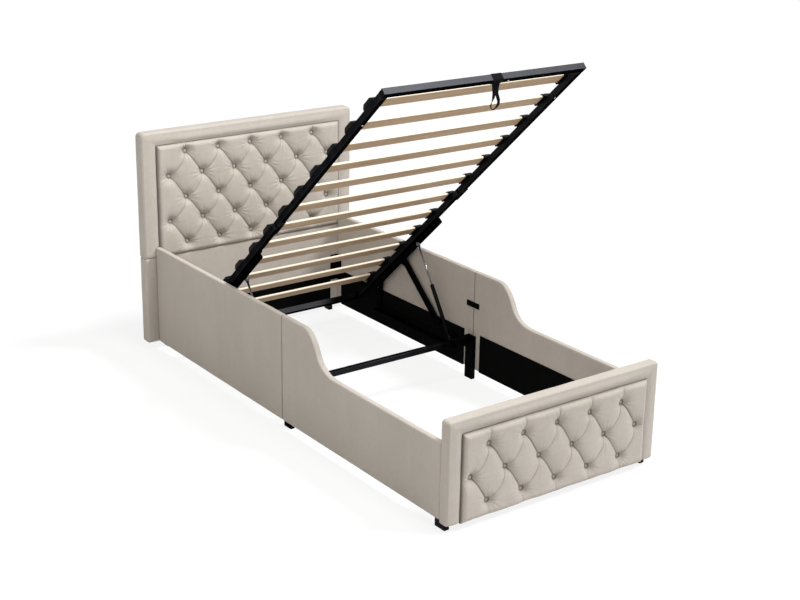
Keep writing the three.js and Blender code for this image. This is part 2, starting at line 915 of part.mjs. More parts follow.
function bright() {
  return new THREE.MeshStandardMaterial({ color: chrome, roughness: 0.15, metalness: 1 });
}

const rodStart = strutLength - rodLength;
addMovingPair('strut_rod', strutFixed, strutAngle, joined(
  crossPin(strutEyeRadius, strutEyeInner, strutEyeOuter, [strutLength, 0]),
  crossPin(pinRadius, strutEyeOuter - gap, mountInner - gap, [strutLength, 0]),
  longRod(
    rodCollarRadius,
    strutLength - strutEyeRadius / 2 - rodCollarLength,
    strutLength - strutEyeRadius / 2,
    strutPlace,
  ),
  longRod(rodRadius, rodStart, strutLength - strutEyeRadius / 2, strutPlace),
), bright);

// Platform, built lying flat: x across, y from its foot end towards the head, z up from its tubes.
const platform = new THREE.Group();
platform.position.set(0, headFaceY - openFromHead, openHeight);
platform.rotation.x = -openTilt;
bed.add(platform);

// In the platform's own frame the distance from its foot end runs the other way to "from head".
const along = (distance) => -distance;

function slatPlace(index) {
  return slatFirst + index * slatPitch;
}

const holderInner = platformHalf - holderReach;
const slatUnder = tubeSize + slatLift;
const slatHalf = holderInner + pocketDepth;

// A holder sits on the tube: a tapered block with a pocket for the end of the slat.
function slatHolder(distance) {
  const foot = holderBase / 2;
  const crest = holderTop / 2;
  const block = sidePlate([
    [along(distance - foot), tubeSize - steelWall / 2],
    [along(distance + foot), tubeSize - steelWall / 2],
    [along(distance + crest), tubeSize + holderRise],
    [along(distance - crest), tubeSize + holderRise],
  ], holderInner, platformHalf);
  const pocket = box(
    [holderInner - overrun, along(distance - slatWidth / 2 - gap), slatUnder - gap],
    [slatHalf + gap, along(distance + slatWidth / 2 + gap), slatUnder + slatThick + gap],
  );
  return cut(block, pocket);
}

function sideTube(start, end) {
  const places = Array.from({ length: slatCount }, (_, i) => slatPlace(i));
  const holders = places.filter((place) => place > start && place < end).map(slatHolder);
  const bore = box(
    [tubeInnerFace + steelWall, along(start - overrun), steelWall],
    [platformHalf - steelWall, along(end + overrun), tubeSize - steelWall],
  );
  const tube = box([tubeInnerFace, along(start), 0], [platformHalf, along(end), tubeSize]);
  return joined(cut(tube, bore), ...holders);
}

function spliceBolt(distance) {
  return crossPin(
    boltRadius,
    tubeInnerFace - boltHead,
    tubeInnerFace + steelWall / 2,
    [along(distance), tubeSize / 2],
    6,
  );
}

const spliceStart = platformSplice - spliceLength / 2;
const footTubeHalf = joined(
  sideTube(tubeSize + gap, platformSplice - gap / 2),
  spliceBolt(platformSplice - spliceLength / 4),
);
const headTubeHalf = joined(
  sideTube(platformSplice + gap / 2, platformLength - tubeSize - gap),
  spliceBolt(platformSplice + spliceLength / 4),
  box(
    [tubeInnerFace, along(spliceStart), -gap - spliceThick],
    [platformHalf, along(spliceStart + spliceLength), -gap],
  ),
  box(
    [tubeInnerFace, along(platformSplice + gap), -gap - spliceThick / 2],
    [platformHalf, along(spliceStart + spliceLength), steelWall / 2],
  ),
);

for (const [word, side] of sides) {
  addMesh(platform, `side_tube_foot_${word}`, toGeometry(footTubeHalf, side), steel());
  addMesh(platform, `side_tube_head_${word}`, toGeometry(headTubeHalf, side), steel());
}

const headTube = crossTube([-platformHalf, platformHalf], [along(tubeSize), 0], [0, tubeSize]);
const ventNear = tubeSize / 3;
const ventFar = tubeSize - ventNear;
const footTube = cut(
  box([-platformHalf, 0, 0], [platformHalf, along(tubeSize), tubeSize]),
  box(
    [-platformHalf + steelWall, along(steelWall), steelWall],
    [platformHalf - steelWall, along(tubeSize - steelWall), tubeSize - steelWall],
  ),
  ...[-1, 1].map((side) => box(
    [side * (platformHalf - ventNear), along(tubeSize - steelWall - overrun), ventNear],
    [side * (platformHalf - ventFar), along(tubeSize + overrun), ventFar],
  )),
);
addMesh(platform, 'foot_tube', toGeometry(footTube), steel());
const headTubeMesh = addMesh(platform, 'head_tube', toGeometry(headTube), steel());
headTubeMesh.position.set(0, platformLength - tubeSize, 0);

for (let i = 0; i < slatCount; i += 1) {
  const number = String(i + 1).padStart(2, '0');
  const geometry = new THREE.BoxGeometry(2 * slatHalf, slatWidth, slatThick);
  const slat = addMesh(platform, `slat_${number}`, geometry, timber());
  slat.position.set(0, slatPlace(i), slatUnder + slatThick / 2);
}

// Mount rails under the side tubes: an angle whose web carries the three moving pivots.
const mountTop = -gap;
const earPoints = [];
for (let i = 0; i <= pinSides / 2; i += 1) {
  const turn = (Math.PI * i) / (pinSides / 2);
  earPoints.push([
    along(frontPivotAlong - mountEarRadius * Math.cos(turn)),
    -frontPivotBelow - mountEarRadius * Math.sin(turn),
  ]);
}
const mountOutline = [
  [along(mountStart), mountTop],
  [along(mountStart - mountNose), -mountDrop + mountThick],
  [along(mountStart - mountNose / 2), -mountDrop],
  [along(frontPivotAlong - mountEarRadius * 2), -mountDrop],
  ...earPoints,
  [along(frontPivotAlong + mountEarRadius * 2), -mountDrop],
  [along(mountEnd - mountDrop), -mountDrop],
  [along(mountEnd), -mountDrop + mountDrop / 2],
  [along(mountEnd), mountTop],
];
const frontMoving = [along(frontPivotAlong), -frontPivotBelow];
const rearMoving = [along(rearPivotAlong), -rearPivotBelow];
const mountRail = joined(
  sidePlate(mountOutline, mountInner, mountOuter),
  box(
    [tubeInnerFace, along(mountStart), mountTop - mountThick],
    [mountOuter, along(mountEnd), mountTop],
  ),
  crossPin(pinRadius, mountOuter - mountThick / 2, armOuter + gap, frontMoving),
  crossPin(pinHeadRadius, armOuter + gap, armOuter + gap + pinHeadThick, frontMoving),
  crossPin(pinHeadRadius, mountInner - rivetThick, mountInner + mountThick / 2, frontMoving),
  crossPin(pinHeadRadius, mountInner - rivetThick, mountInner + mountThick / 2, rearMoving),
);
for (const [word, side] of sides) {
  addMesh(platform, `mount_rail_${word}`, toGeometry(mountRail, side), steel());
}

// Pull strap: a band round the foot tube, with a neck and an open loop that hang straight down.
const strapX = [strapOffset - strapWidth / 2, strapOffset + strapWidth / 2];
const bandOut = gap + strapThick;
const band = cut(
  box(
    [strapX[0], along(-bandOut), -bandOut],
    [strapX[1], along(tubeSize + bandOut), tubeSize + bandOut],
  ),
  box(
    [strapX[0] - overrun, along(-gap), -gap],
    [strapX[1] + overrun, along(tubeSize + gap), tubeSize + gap],
  ),
);

function hangingSolid(geometry) {
  geometry.rotateX(openTilt);
  geometry.translate(strapOffset, tubeSize - neckThick, -gap - strapThick / 2);
  return toSolid(geometry);
}

const neckGeometry = new THREE.BoxGeometry(neckWidth, neckThick, neckLength);
neckGeometry.translate(0, 0, -neckLength / 2);
const loopFoot = neckLength + loopHeight;
const loopWaist = neckLength + loopHeight * loopWaistShare;
const loopFlat = loopWidth * loopFlatShare;
const loopInner = loopWidth / 2 - loopThick * loopCornerShare;
const loopShape = new THREE.Shape([
  new THREE.Vector2(0, loopThick - neckLength),
  new THREE.Vector2(-loopWidth / 2, -loopWaist),
  new THREE.Vector2(-loopFlat, -loopFoot),
  new THREE.Vector2(loopFlat, -loopFoot),
  new THREE.Vector2(loopWidth / 2, -loopWaist),
]);
loopShape.holes.push(new THREE.Path([
  new THREE.Vector2(0, -neckLength - loopThick),
  new THREE.Vector2(-loopInner, -loopWaist),
  new THREE.Vector2(-loopFlat + loopThick / 2, -loopFoot + loopThick),
  new THREE.Vector2(loopFlat - loopThick / 2, -loopFoot + loopThick),
  new THREE.Vector2(loopInner, -loopWaist),
]));
const loopGeometry = new THREE.ExtrudeGeometry(loopShape, { depth: loopDepth, bevelEnabled: false });
loopGeometry.translate(0, 0, -loopDepth / 2);
loopGeometry.rotateX(Math.PI / 2);
const strap = joined(band, hangingSolid(neckGeometry), hangingSolid(loopGeometry));
addMesh(platform, 'pull_strap', toGeometry(strap), board());

export default bed;
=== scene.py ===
import math
import bpy
import numpy as np
from mathutils import Matrix, Vector


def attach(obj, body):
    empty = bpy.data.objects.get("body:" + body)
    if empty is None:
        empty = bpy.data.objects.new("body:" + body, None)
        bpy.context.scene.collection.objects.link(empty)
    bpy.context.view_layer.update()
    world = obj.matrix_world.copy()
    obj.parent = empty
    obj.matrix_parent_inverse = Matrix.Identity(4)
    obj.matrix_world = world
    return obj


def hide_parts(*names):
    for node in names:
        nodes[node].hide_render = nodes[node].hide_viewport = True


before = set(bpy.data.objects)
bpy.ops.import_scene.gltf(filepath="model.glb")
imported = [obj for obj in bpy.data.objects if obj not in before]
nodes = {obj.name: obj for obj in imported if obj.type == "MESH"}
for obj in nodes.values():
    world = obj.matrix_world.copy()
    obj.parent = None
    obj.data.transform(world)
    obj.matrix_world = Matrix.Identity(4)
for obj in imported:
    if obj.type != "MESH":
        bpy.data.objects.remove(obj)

# Lengths in the dictionaries are millimetres; mesh points become metres in addPiece.
# h is the distance from the headboard's face towards the foot, so y = headFaceY - h.
mm = 0.001
headFaceY = 1005.5
scene = bpy.context.scene
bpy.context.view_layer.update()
print("frame loaded:", len(nodes), "nodes")

# Sizes that several pieces share; gap is the play between neighbouring covered pieces.
bed = {"headHalf": 535, "headThick": 55, "headSeam": 425, "footHalf": 485, "length": 2020,
       "railSeam": 1025, "gap": 0.3}


# Shader helpers: a material with its shader, a node with its values, and small sums and mixes.
def newMaterial(name, metallic=0.0, roughness=0.6, specular=0.5):
    material = bpy.data.materials.new(name)
    material.use_nodes = True
    shader = material.node_tree.nodes["Principled BSDF"]
    shader.inputs["Metallic"].default_value = metallic
    shader.inputs["Roughness"].default_value = roughness
    shader.inputs["Specular IOR Level"].default_value = specular
    return material, material.node_tree, shader


def addNode(tree, kind, values=None, **settings):
    node = tree.nodes.new(kind)
    for key, value in settings.items():
        setattr(node, key, value)
    for key, value in (values or {}).items():
        node.inputs[key].default_value = value
    return node


def spread(tree, value, low, high, toLow=0.0, toHigh=1.0):
    node = addNode(tree, "ShaderNodeMapRange",
                   {"From Min": low, "From Max": high, "To Min": toLow, "To Max": toHigh},
                   interpolation_type="SMOOTHSTEP")
    tree.links.new(value, node.inputs["Value"])
    return node.outputs["Result"]


# Sets each input to a plain value, or links it where the value comes from another node.
def feed(tree, node, values):
    for index, value in values:
        if isinstance(value, (tuple, float, int)):
            node.inputs[index].default_value = value
        else:
            tree.links.new(value, node.inputs[index])


def mixColours(tree, share, first, second):
    node = addNode(tree, "ShaderNodeMix", data_type="RGBA")
    feed(tree, node, ((0, share), (6, first), (7, second)))
    return node.outputs[2]


def sums(tree, operation, first, second=0.0):
    node = addNode(tree, "ShaderNodeMath", operation=operation)
    feed(tree, node, ((0, first), (1, second)))
    return node.outputs[0]


# The looks below hold a bump's strength and distance as relief; the distance is in metres.
def bump(tree, shader, height, strength, distance):
    node = addNode(tree, "ShaderNodeBump", {"Strength": strength, "Distance": distance})
    tree.links.new(height, node.inputs["Height"])
    tree.links.new(node.outputs["Normal"], shader.inputs["Normal"])


def objectSpace(tree):
    return addNode(tree, "ShaderNodeTexCoord").outputs["Object"]


def attributeOf(tree, name, output="Vector"):
    return addNode(tree, "ShaderNodeAttribute", attribute_name=name).outputs[output]


# Grain shared by the finishes: noise stretched along each axis, as a mask from 0 to 1.
def makeGrainGroup():
    group = bpy.data.node_groups.new("surfaceGrain", "ShaderNodeTree")
    face = group.interface
    face.new_socket(name="Place", in_out="INPUT", socket_type="NodeSocketVector")
    stretch = face.new_socket(name="Stretch", in_out="INPUT", socket_type="NodeSocketVector")
    stretch.default_value = (1.0, 1.0, 1.0)
    for name, value in (("Size", 10.0), ("Detail", 2.0), ("Low", 0.3), ("High", 0.7)):
        socket = face.new_socket(name=name, in_out="INPUT", socket_type="NodeSocketFloat")
        socket.default_value = value
    face.new_socket(name="Mask", in_out="OUTPUT", socket_type="NodeSocketFloat")
    entry, leave = addNode(group, "NodeGroupInput"), addNode(group, "NodeGroupOutput")
    scaled = addNode(group, "ShaderNodeVectorMath", operation="MULTIPLY")
    noise = addNode(group, "ShaderNodeTexNoise", {"Roughness": 0.58})
    ranged = addNode(group, "ShaderNodeMapRange", interpolation_type="SMOOTHSTEP")
    for start, end in ((entry.outputs["Place"], scaled.inputs[0]),
                       (entry.outputs["Stretch"], scaled.inputs[1]),
                       (scaled.outputs["Vector"], noise.inputs["Vector"]),
                       (entry.outputs["Size"], noise.inputs["Scale"]),
                       (entry.outputs["Detail"], noise.inputs["Detail"]),
                       (noise.outputs["Fac"], ranged.inputs["Value"]),
                       (entry.outputs["Low"], ranged.inputs["From Min"]),
                       (entry.outputs["High"], ranged.inputs["From Max"]),
                       (ranged.outputs["Result"], leave.inputs["Mask"])):
        group.links.new(start, end)
    return group


grainGroup = makeGrainGroup()


def grain(tree, place, size, detail=2.0, low=0.3, high=0.7, stretch=(1.0, 1.0, 1.0)):
    node = addNode(tree, "ShaderNodeGroup", node_tree=grainGroup)
    tree.links.new(place, node.inputs["Place"])
    for name, value in (("Size", size), ("Detail", detail), ("Low", low), ("High", high),
                        ("Stretch", stretch)):
        node.inputs[name].default_value = value
    return node.outputs["Mask"]


# Velvet: the pile lies one way or the other in soft patches, over a fine short nap.
# A point attribute carries painted shade: 1 in the folds, the seams and under the buttons, where
# the pile also closes up, and below 0 a painted highlight on the crests and button caps.
velvetLook = {
    "plain": (0.440, 0.401, 0.359, 1),
    "brushed": (0.474, 0.434, 0.390, 1),
    "nap": (0.337, 0.301, 0.260, 1),
    # The next two colours are painted: the shade in folds, seams and under buttons, and the
    # highlight on crests and button caps.
    "fold": (0.075, 0.062, 0.05, 1),
    "crest": (0.66, 0.62, 0.57, 1),
    "patchSize": 5.0, "patchEdges": (0.36, 0.64),
    "streakSize": 4.0, "streakEdges": (0.35, 0.7), "streakStretch": (3.0, 3.0, 0.7),
    "mottleSize": 60.0, "napSize": 1500.0, "napShare": 0.16, "foldShare": 0.8,
    "sheen": 0.22, "sheenRoughness": 0.4, "sheenTint": (1.0, 0.97, 0.94, 1),
    "relief": (0.3, 0.0006),
}


def makeVelvet():
    look = velvetLook
    material, tree, shader = newMaterial("velvet", roughness=0.82, specular=0.2)
    space = objectSpace(tree)
    patches = grain(tree, space, look["patchSize"], 3.0, *look["patchEdges"])
    streaks = grain(tree, space, look["streakSize"], 3.0, *look["streakEdges"],
                    look["streakStretch"])
    mottle = grain(tree, space, look["mottleSize"], 4.0)
    nap = grain(tree, space, look["napSize"])
    lay = sums(tree, "MULTIPLY", sums(tree, "ADD", patches, streaks), 0.5)
    colour = mixColours(tree, lay, look["plain"], look["brushed"])
    shade = spread(tree, sums(tree, "MULTIPLY", mottle, nap), 0.0, 0.5, look["napShare"], 0.0)
    colour = mixColours(tree, shade, colour, look["nap"])
    # Painted shade where the attribute is above 0, and a painted highlight where it is below 0.
    foldShade = attributeOf(tree, "foldShade", "Fac")
    folded = sums(tree, "MULTIPLY", foldShade, look["foldShare"])
    colour = mixColours(tree, folded, colour, look["fold"])
    colour = mixColours(tree, sums(tree, "MULTIPLY", foldShade, -1.0), colour, look["crest"])
    tree.links.new(colour, shader.inputs["Base Color"])
    shader.inputs["Sheen Weight"].default_value = look["sheen"]
    shader.inputs["Sheen Roughness"].default_value = look["sheenRoughness"]
    shader.inputs["Sheen Tint"].default_value = look["sheenTint"]
    bump(tree, shader, nap, *look["relief"])
    return material


# Powder-coated steel: near black, with a satin gloss that is cloudy and faintly orange-peeled.
# The lifting gear inside the box is the same steel with darker tones, as painted shade.
steelLook = {
    "tubes": ((0.016, 0.0163, 0.018, 1), (0.0225, 0.0228, 0.0248, 1)),
    "gearInShade": ((0.0058, 0.0059, 0.0064, 1), (0.0086, 0.0087, 0.0094, 1)),
    "cloudSize": 22.0, "gloss": (0.4, 0.46), "tint": (0.1, 0.1, 0.1, 1),
    "peelSize": 420.0, "relief": (0.1, 0.0004),
}


def makeSteel(name, tones):
    look = steelLook
    material, tree, shader = newMaterial(name, metallic=1.0, roughness=0.43)
    space = objectSpace(tree)
    cloudy = grain(tree, space, look["cloudSize"], 4.0)
    tree.links.new(mixColours(tree, cloudy, *look[tones]), shader.inputs["Base Color"])
    shader.inputs["Specular Tint"].default_value = look["tint"]
    tree.links.new(spread(tree, cloudy, 0.0, 1.0, *look["gloss"]), shader.inputs["Roughness"])
    bump(tree, shader, grain(tree, space, look["peelSize"]), *look["relief"])
    return material


# Finishes with one grain, which mixes two tones: a chromed rod with very fine turning marks,
# pale brushed screws with a zinc plating, and an even, slightly grained black plastic.
grainyLooks = {
    "strutChrome": {"metallic": 1.0, "roughness": 0.12, "specular": 0.5, "size": 900.0,
                    "tones": ((0.13, 0.13, 0.135, 1), (0.17, 0.17, 0.175, 1)),
                    "gloss": (0.16, 0.2)},
    "platedScrew": {"metallic": 1.0, "roughness": 0.35, "specular": 0.5, "size": 1500.0,
                    "tones": ((0.55, 0.55, 0.54, 1), (0.8, 0.8, 0.79, 1)),
                    "relief": (0.2, 0.0002)},
    "footPlastic": {"metallic": 0.0, "roughness": 0.5, "specular": 0.05, "size": 1100.0,
                    "tones": ((0.0025, 0.0025, 0.0028, 1), (0.006, 0.006, 0.0063, 1)),
                    "relief": (0.25, 0.0004)},
}


def makeGrainy(name):
    look = grainyLooks[name]
    material, tree, shader = newMaterial(name, look["metallic"], look["roughness"],
                                         look["specular"])
    marks = grain(tree, objectSpace(tree), look["size"])
    tree.links.new(mixColours(tree, marks, *look["tones"]), shader.inputs["Base Color"])
    if "gloss" in look:
        tree.links.new(spread(tree, marks, 0.0, 1.0, *look["gloss"]), shader.inputs["Roughness"])
    if "relief" in look:
        bump(tree, shader, marks, *look["relief"])
    return material


# Black covered board inside the box: matt cover with a fine felt grain.
liningLook = {
    "dark": (0.0008, 0.0008, 0.0008, 1), "light": (0.002, 0.002, 0.002, 1), "feltSize": 700.0,
    "cloud": (0.0032, 0.0032, 0.0032, 1), "cloudSize": 9.0, "cloudShare": 0.4,
    "relief": (0.3, 0.0005),
}


def makeLining():
    look = liningLook
    material, tree, shader = newMaterial("blackLining", roughness=0.85, specular=0.025)
    space = objectSpace(tree)
    felt = grain(tree, space, look["feltSize"], 3.0)
    cloudy = grain(tree, space, look["cloudSize"], 3.0)
    colour = mixColours(tree, felt, look["dark"], look["light"])
    share = sums(tree, "MULTIPLY", cloudy, look["cloudShare"])
    tree.links.new(mixColours(tree, share, colour, look["cloud"]), shader.inputs["Base Color"])
    bump(tree, shader, felt, *look["relief"])
    return material


# Beech plywood: grain runs along the slat, and the long edges are pale with thin ply lines.
# The attribute slatSpace is the place in the slat: along, across and through it, in metres.
# Each grain has its detail, where its mask starts and ends, and its waves to the metre.
beechLook = {
    "dark": (0.35, 0.236, 0.142, 1), "light": (0.465, 0.325, 0.205, 1),
    "broad": (0.51, 0.362, 0.232, 1), "fleck": (0.23, 0.14, 0.078, 1),
    "edge": (0.66, 0.59, 0.47, 1), "ply": (0.44, 0.33, 0.22, 1),
    "lineGrain": (5.0, 0.35, 0.68, (3.0, 130.0, 60.0)),
    "fleckGrain": (2.0, 0.6, 0.72, (45.0, 900.0, 300.0)), "fleckShare": 0.4,
    "broadGrain": (3.0, 0.35, 0.7, (1.6, 14.0, 6.0)), "broadShare": 0.5,
    "edgeFrom": 0.0235, "edgeTo": 0.0252, "plyTurns": 2600.0, "plyShare": 0.35,
    "relief": (0.15, 0.0004),
}


def makeBeech():
    look = beechLook
    material, tree, shader = newMaterial("beech", roughness=0.55, specular=0.2)
    space = attributeOf(tree, "slatSpace")
    lines, flecks, broad = (grain(tree, space, 1.0, *look[name])
                            for name in ("lineGrain", "fleckGrain", "broadGrain"))
    colour = mixColours(tree, lines, look["dark"], look["light"])
    share = sums(tree, "MULTIPLY", broad, look["broadShare"])
    colour = mixColours(tree, share, colour, look["broad"])
    share = sums(tree, "MULTIPLY", flecks, look["fleckShare"])
    colour = mixColours(tree, share, colour, look["fleck"])
    parts = addNode(tree, "ShaderNodeSeparateXYZ")
    tree.links.new(space, parts.inputs[0])
    away = sums(tree, "ABSOLUTE", parts.outputs["Y"])
    edge = spread(tree, away, look["edgeFrom"], look["edgeTo"])
    colour = mixColours(tree, edge, colour, look["edge"])
    layers = sums(tree, "SINE", sums(tree, "MULTIPLY", parts.outputs["Z"], look["plyTurns"]))
    plies = sums(tree, "MULTIPLY", spread(tree, layers, 0.4, 1.0, 0.0, look["plyShare"]), edge)
    colour = mixColours(tree, plies, colour, look["ply"])
    tree.links.new(colour, shader.inputs["Base Color"])
    bump(tree, shader, sums(tree, "ADD", lines, flecks), *look["relief"])
    return material


# Woven black strap: ribs across it and threads along it.
# The attribute strapSpace is the place on the strap: across, along and through it, in metres.
webbingLook = {
    "dark": (0.002, 0.002, 0.0024, 1), "light": (0.008, 0.008, 0.009, 1),
    "ribTurns": 3500.0, "threadTurns": 4200.0, "relief": (0.5, 0.0005),
}


def makeWebbing():
    look = webbingLook
    material, tree, shader = newMaterial("webbing", roughness=0.85, specular=0.05)
    parts = addNode(tree, "ShaderNodeSeparateXYZ")
    tree.links.new(attributeOf(tree, "strapSpace"), parts.inputs[0])
    ribs, threads = (sums(tree, "SINE", sums(tree, "MULTIPLY", parts.outputs[axis], look[turns]))
                     for axis, turns in (("Y", "ribTurns"), ("X", "threadTurns")))
    weave = spread(tree, sums(tree, "MULTIPLY", ribs, threads), -1.0, 1.0)
    colour = mixColours(tree, weave, look["dark"], look["light"])
    tree.links.new(colour, shader.inputs["Base Color"])
    bump(tree, shader, weave, *look["relief"])
    return material


# Each finish: its material and the slot that it fills.
finishes = {
    "velvet": (makeVelvet(), "velvet"),
    "tubes": (makeSteel("blackSteel", "tubes"), "black_steel"),
    # The gear inside the box takes the darker copy of the steel, as painted shade.
    "gearInShade": (makeSteel("gearSteel", "gearInShade"), "black_steel"),
    "chrome": (makeGrainy("strutChrome"), "strut_chrome"),
    "plated": (makeGrainy("platedScrew"), "strut_chrome"),
    "lining": (makeLining(), "black_lining"),
    "beech": (makeBeech(), "beech"),
    "webbing": (makeWebbing(), "webbing"),
    "plastic": (makeGrainy("footPlastic"), "foot_plastic"),
}
print("materials made")


# A grid point (x, h, z) in millimetres of the bed's own frame becomes (x, headFaceY - h, z).
def bedPoints(x, h, z):
    x, h, z = np.broadcast_arrays(x, h, z)
    return np.stack([x, headFaceY - h, z], axis=-1).astype(float)


# Faces turn round if the volume that they close is negative: the sum over the triangles of
# a . (b x c) / 6, taken about the middle of the points.
def outward(points, faces):
    volume = 0.0
    p = points - points.mean(0)
    for size in (3, 4):
        group = np.array([face for face in faces if len(face) == size], int).reshape(-1, size)
        for k in range(1, size - 1):
            a, b, c = p[group[:, 0]], p[group[:, k]], p[group[:, k + 1]]
            volume += np.einsum("ij,ij->i", a, np.cross(b, c)).sum() / 6
    return faces if volume > 0 else [face[::-1] for face in faces]


# A shape is its points and its faces; body is what it rides on.
def addPiece(name, shape, finish, body, replaced=()):
    points = np.asarray(shape[0], float).reshape(-1, 3)
    material, slotName = finishes[finish]
    mesh = bpy.data.meshes.new(name)
    mesh.from_pydata((points * mm).tolist(), [], outward(points, shape[1]))
    mesh.update()
    mesh.polygons.foreach_set("use_smooth", np.full(len(mesh.polygons), True))
    mesh.materials.append(material)
    piece = bpy.data.objects.new(name, mesh)
    scene.collection.objects.link(piece)
    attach(piece, body)
    if replaced:
        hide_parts(*replaced)
    return piece


# A value for each point: one number or one vector.
def setAttribute(piece, name, values):
    values = np.asarray(values, np.float32)
    kind, field = ("FLOAT_VECTOR", "vector") if values.ndim > 1 else ("FLOAT", "value")
    attribute = piece.data.attributes.new(name, kind, "POINT")
    attribute.data.foreach_set(field, values.ravel())


# Squares between neighbouring rows and columns; wrap joins the last column to the first.
def gridFaces(rows, columns, wrap=False):
    count = columns if wrap else columns - 1
    r, c = np.meshgrid(np.arange(rows - 1), np.arange(count), indexing="ij")
    n = (c + 1) % columns
    faces = np.stack([r * columns + c, r * columns + n,
                      (r + 1) * columns + n, (r + 1) * columns + c], axis=-1)
    return faces.reshape(-1, 4).tolist()


# Triangles from one middle point to each step of a ring.
def fanFaces(middle, first, second):
    return np.stack([np.full(len(first), middle), first, second], -1).tolist()


# A closed bar through rings of equal length: each end is a fan on a middle point.
def closedLoft(rings):
    rings = np.asarray(rings, float)
    rows, columns = rings.shape[:2]
    points = np.concatenate([rings.reshape(-1, 3), [rings[0].mean(0)], [rings[-1].mean(0)]])
    here, last = np.arange(columns), (rows - 1) * columns
    following = (here + 1) % columns
    faces = gridFaces(rows, columns, wrap=True)
    faces += fanFaces(rows * columns, following, here)
    faces += fanFaces(rows * columns + 1, last + here, last + following)
    return points, faces


# A ring-shaped bar: the last ring joins the first again, so there are no ends.
def ringLoft(rings):
    rings = np.asarray(rings, float)
    rows, columns = rings.shape[:2]
    here, last = np.arange(columns), (rows - 1) * columns
    following = (here + 1) % columns
    faces = gridFaces(rows, columns, wrap=True)
    faces += np.stack([last + here, last + following, following, here], -1).tolist()
    return rings.reshape(-1, 3), faces


# The same shape in several places: copies holds one array of points for each of them.
def repeated(copies, faces):
    step = copies.shape[1]
    return copies.reshape(-1, 3), [[corner + step * copy for corner in face]
                                   for copy in range(len(copies)) for face in faces]


# Round sections about an axis: each pair of the outline is a radius and a place on the axis,
# and a point is centre + axis * place + (aside * cos(angle) + across * sin(angle)) * radius.
def turnedRings(centre, axis, outline, steps=32):
    axis = np.asarray(axis, float) / np.linalg.norm(axis)
    aside = np.cross(axis, (0.0, 0.0, 1.0) if abs(axis[2]) < 0.9 else (1.0, 0.0, 0.0))
    aside /= np.linalg.norm(aside)
    angle = np.arange(steps)[:, None] * 2 * math.pi / steps
    circle = aside * np.cos(angle) + np.cross(axis, aside) * np.sin(angle)
    return [np.asarray(centre) + axis * place + circle * radius for radius, place in outline]


# A loop round a rectangle with round corners: four quarter arcs joined by straight runs.
def roundedLoop(low, high, radius, cornerSteps=6, sideSteps=6):
    (a0, b0), (a1, b1) = low, high
    centres = np.array([(a1 - radius, b0 + radius), (a1 - radius, b1 - radius),
                        (a0 + radius, b1 - radius), (a0 + radius, b0 + radius)])
    quarter = np.linspace(0, math.pi / 2, cornerSteps + 1)
    arcs = []
    for k in range(4):
        angles = quarter + (k - 1) * math.pi / 2
        arcs.append(centres[k] + radius * np.stack([np.cos(angles), np.sin(angles)], -1))
    share = np.arange(1, sideSteps)[:, None] / sideSteps
    loop = []
    for k in range(4):
        loop += [arcs[k], arcs[k][-1] + (arcs[(k + 1) % 4][0] - arcs[k][-1]) * share]
    return np.concatenate(loop)


# Such a loop drawn in by an inset. Its corners' radius gets smaller by as much, less a sliver
# that keeps it above 0 where the inset is the whole radius.
def insetLoop(low, high, radius, inset, *steps):
    shrunk = radius - inset * 0.999
    return roundedLoop(np.add(low, inset), np.subtract(high, inset), shrunk, *steps)


# Sections along a bar with round ends, as pairs of a place and the inset there: a quarter
# circle, with an inset of radius * (1 - sin) at radius * (1 - cos) from the end.
def roundEnds(start, end, radius, middle, steps=5):
    angles = np.linspace(0, math.pi / 2, steps + 1)
    insets, along = radius * (1 - np.sin(angles)), radius * (1 - np.cos(angles))
    places = list(zip(start + along, insets)) + [(place, 0.0) for place in middle]
    return places + list(zip(end - along, insets))[::-1]


# The same for a bar with square ends and a small bevel.
def bevelEnds(start, end, bevel, middle=()):
    places = [(start, bevel), (start + bevel, 0.0)] + [(place, 0.0) for place in middle]
    return places + [(end - bevel, 0.0), (end, bevel)]


# A closed bar: sectionAt gives the outline at a place, and layAt puts it on the bed.
def barThrough(places, sectionAt, layAt):
    return closedLoft([layAt(place, sectionAt(place, inset)) for place, inset in places])


# A section in the side view, at a place across the bed.
def layAcross(x, loop):
    return bedPoints(x, loop[:, 0], loop[:, 1])


# Smooth unevenness, the sum of a few crossing waves: n = sum sin(k.p + phase) / count.
def unevenness(points, size, seed, count=7):
    turns = np.random.default_rng(seed)
    total = np.zeros(len(points))
    for _ in range(count):
        direction = turns.normal(size=3)
        direction *= 2 * math.pi / (size * turns.uniform(0.7, 1.5) * np.linalg.norm(direction))
        total += np.sin(points @ direction + turns.uniform(0, 2 * math.pi))
    return total / count


# Moves each point of a finished piece along its normal: p + normal * amount * unevenness(p).
def rumple(piece, look, seed):
    mesh = piece.data
    points, normals = (np.empty(len(mesh.vertices) * 3) for _ in range(2))
    mesh.vertices.foreach_get("co", points)
    mesh.vertex_normals.foreach_get("vector", normals)
    points, normals = points.reshape(-1, 3), normals.reshape(-1, 3)
    shift = unevenness(points / mm, look["size"], seed) * look["amount"] * mm
    mesh.vertices.foreach_set("co", (points + normals * shift[:, None]).ravel())
    mesh.update()


# A board: rounded rectangle sections in the side view, swept across the bed with round ends.
# across is how many sections cross it; loop and ends are steps round a section and an end.
def roundedBoard(name, look, finish, replaced=()):
    start, end = -look["half"], look["half"]
    low, high = zip(look["h"], look["z"])
    radius = look["radius"]
    middle = np.linspace(start + radius, end - radius, look["across"])[1:-1]
    places = roundEnds(start, end, radius, middle, look["ends"])
    shape = barThrough(places, lambda _, inset: insetLoop(low, high, radius, inset, *look["loop"]),
                       layAcross)
    return addPiece(name, shape, finish, "base", replaced)


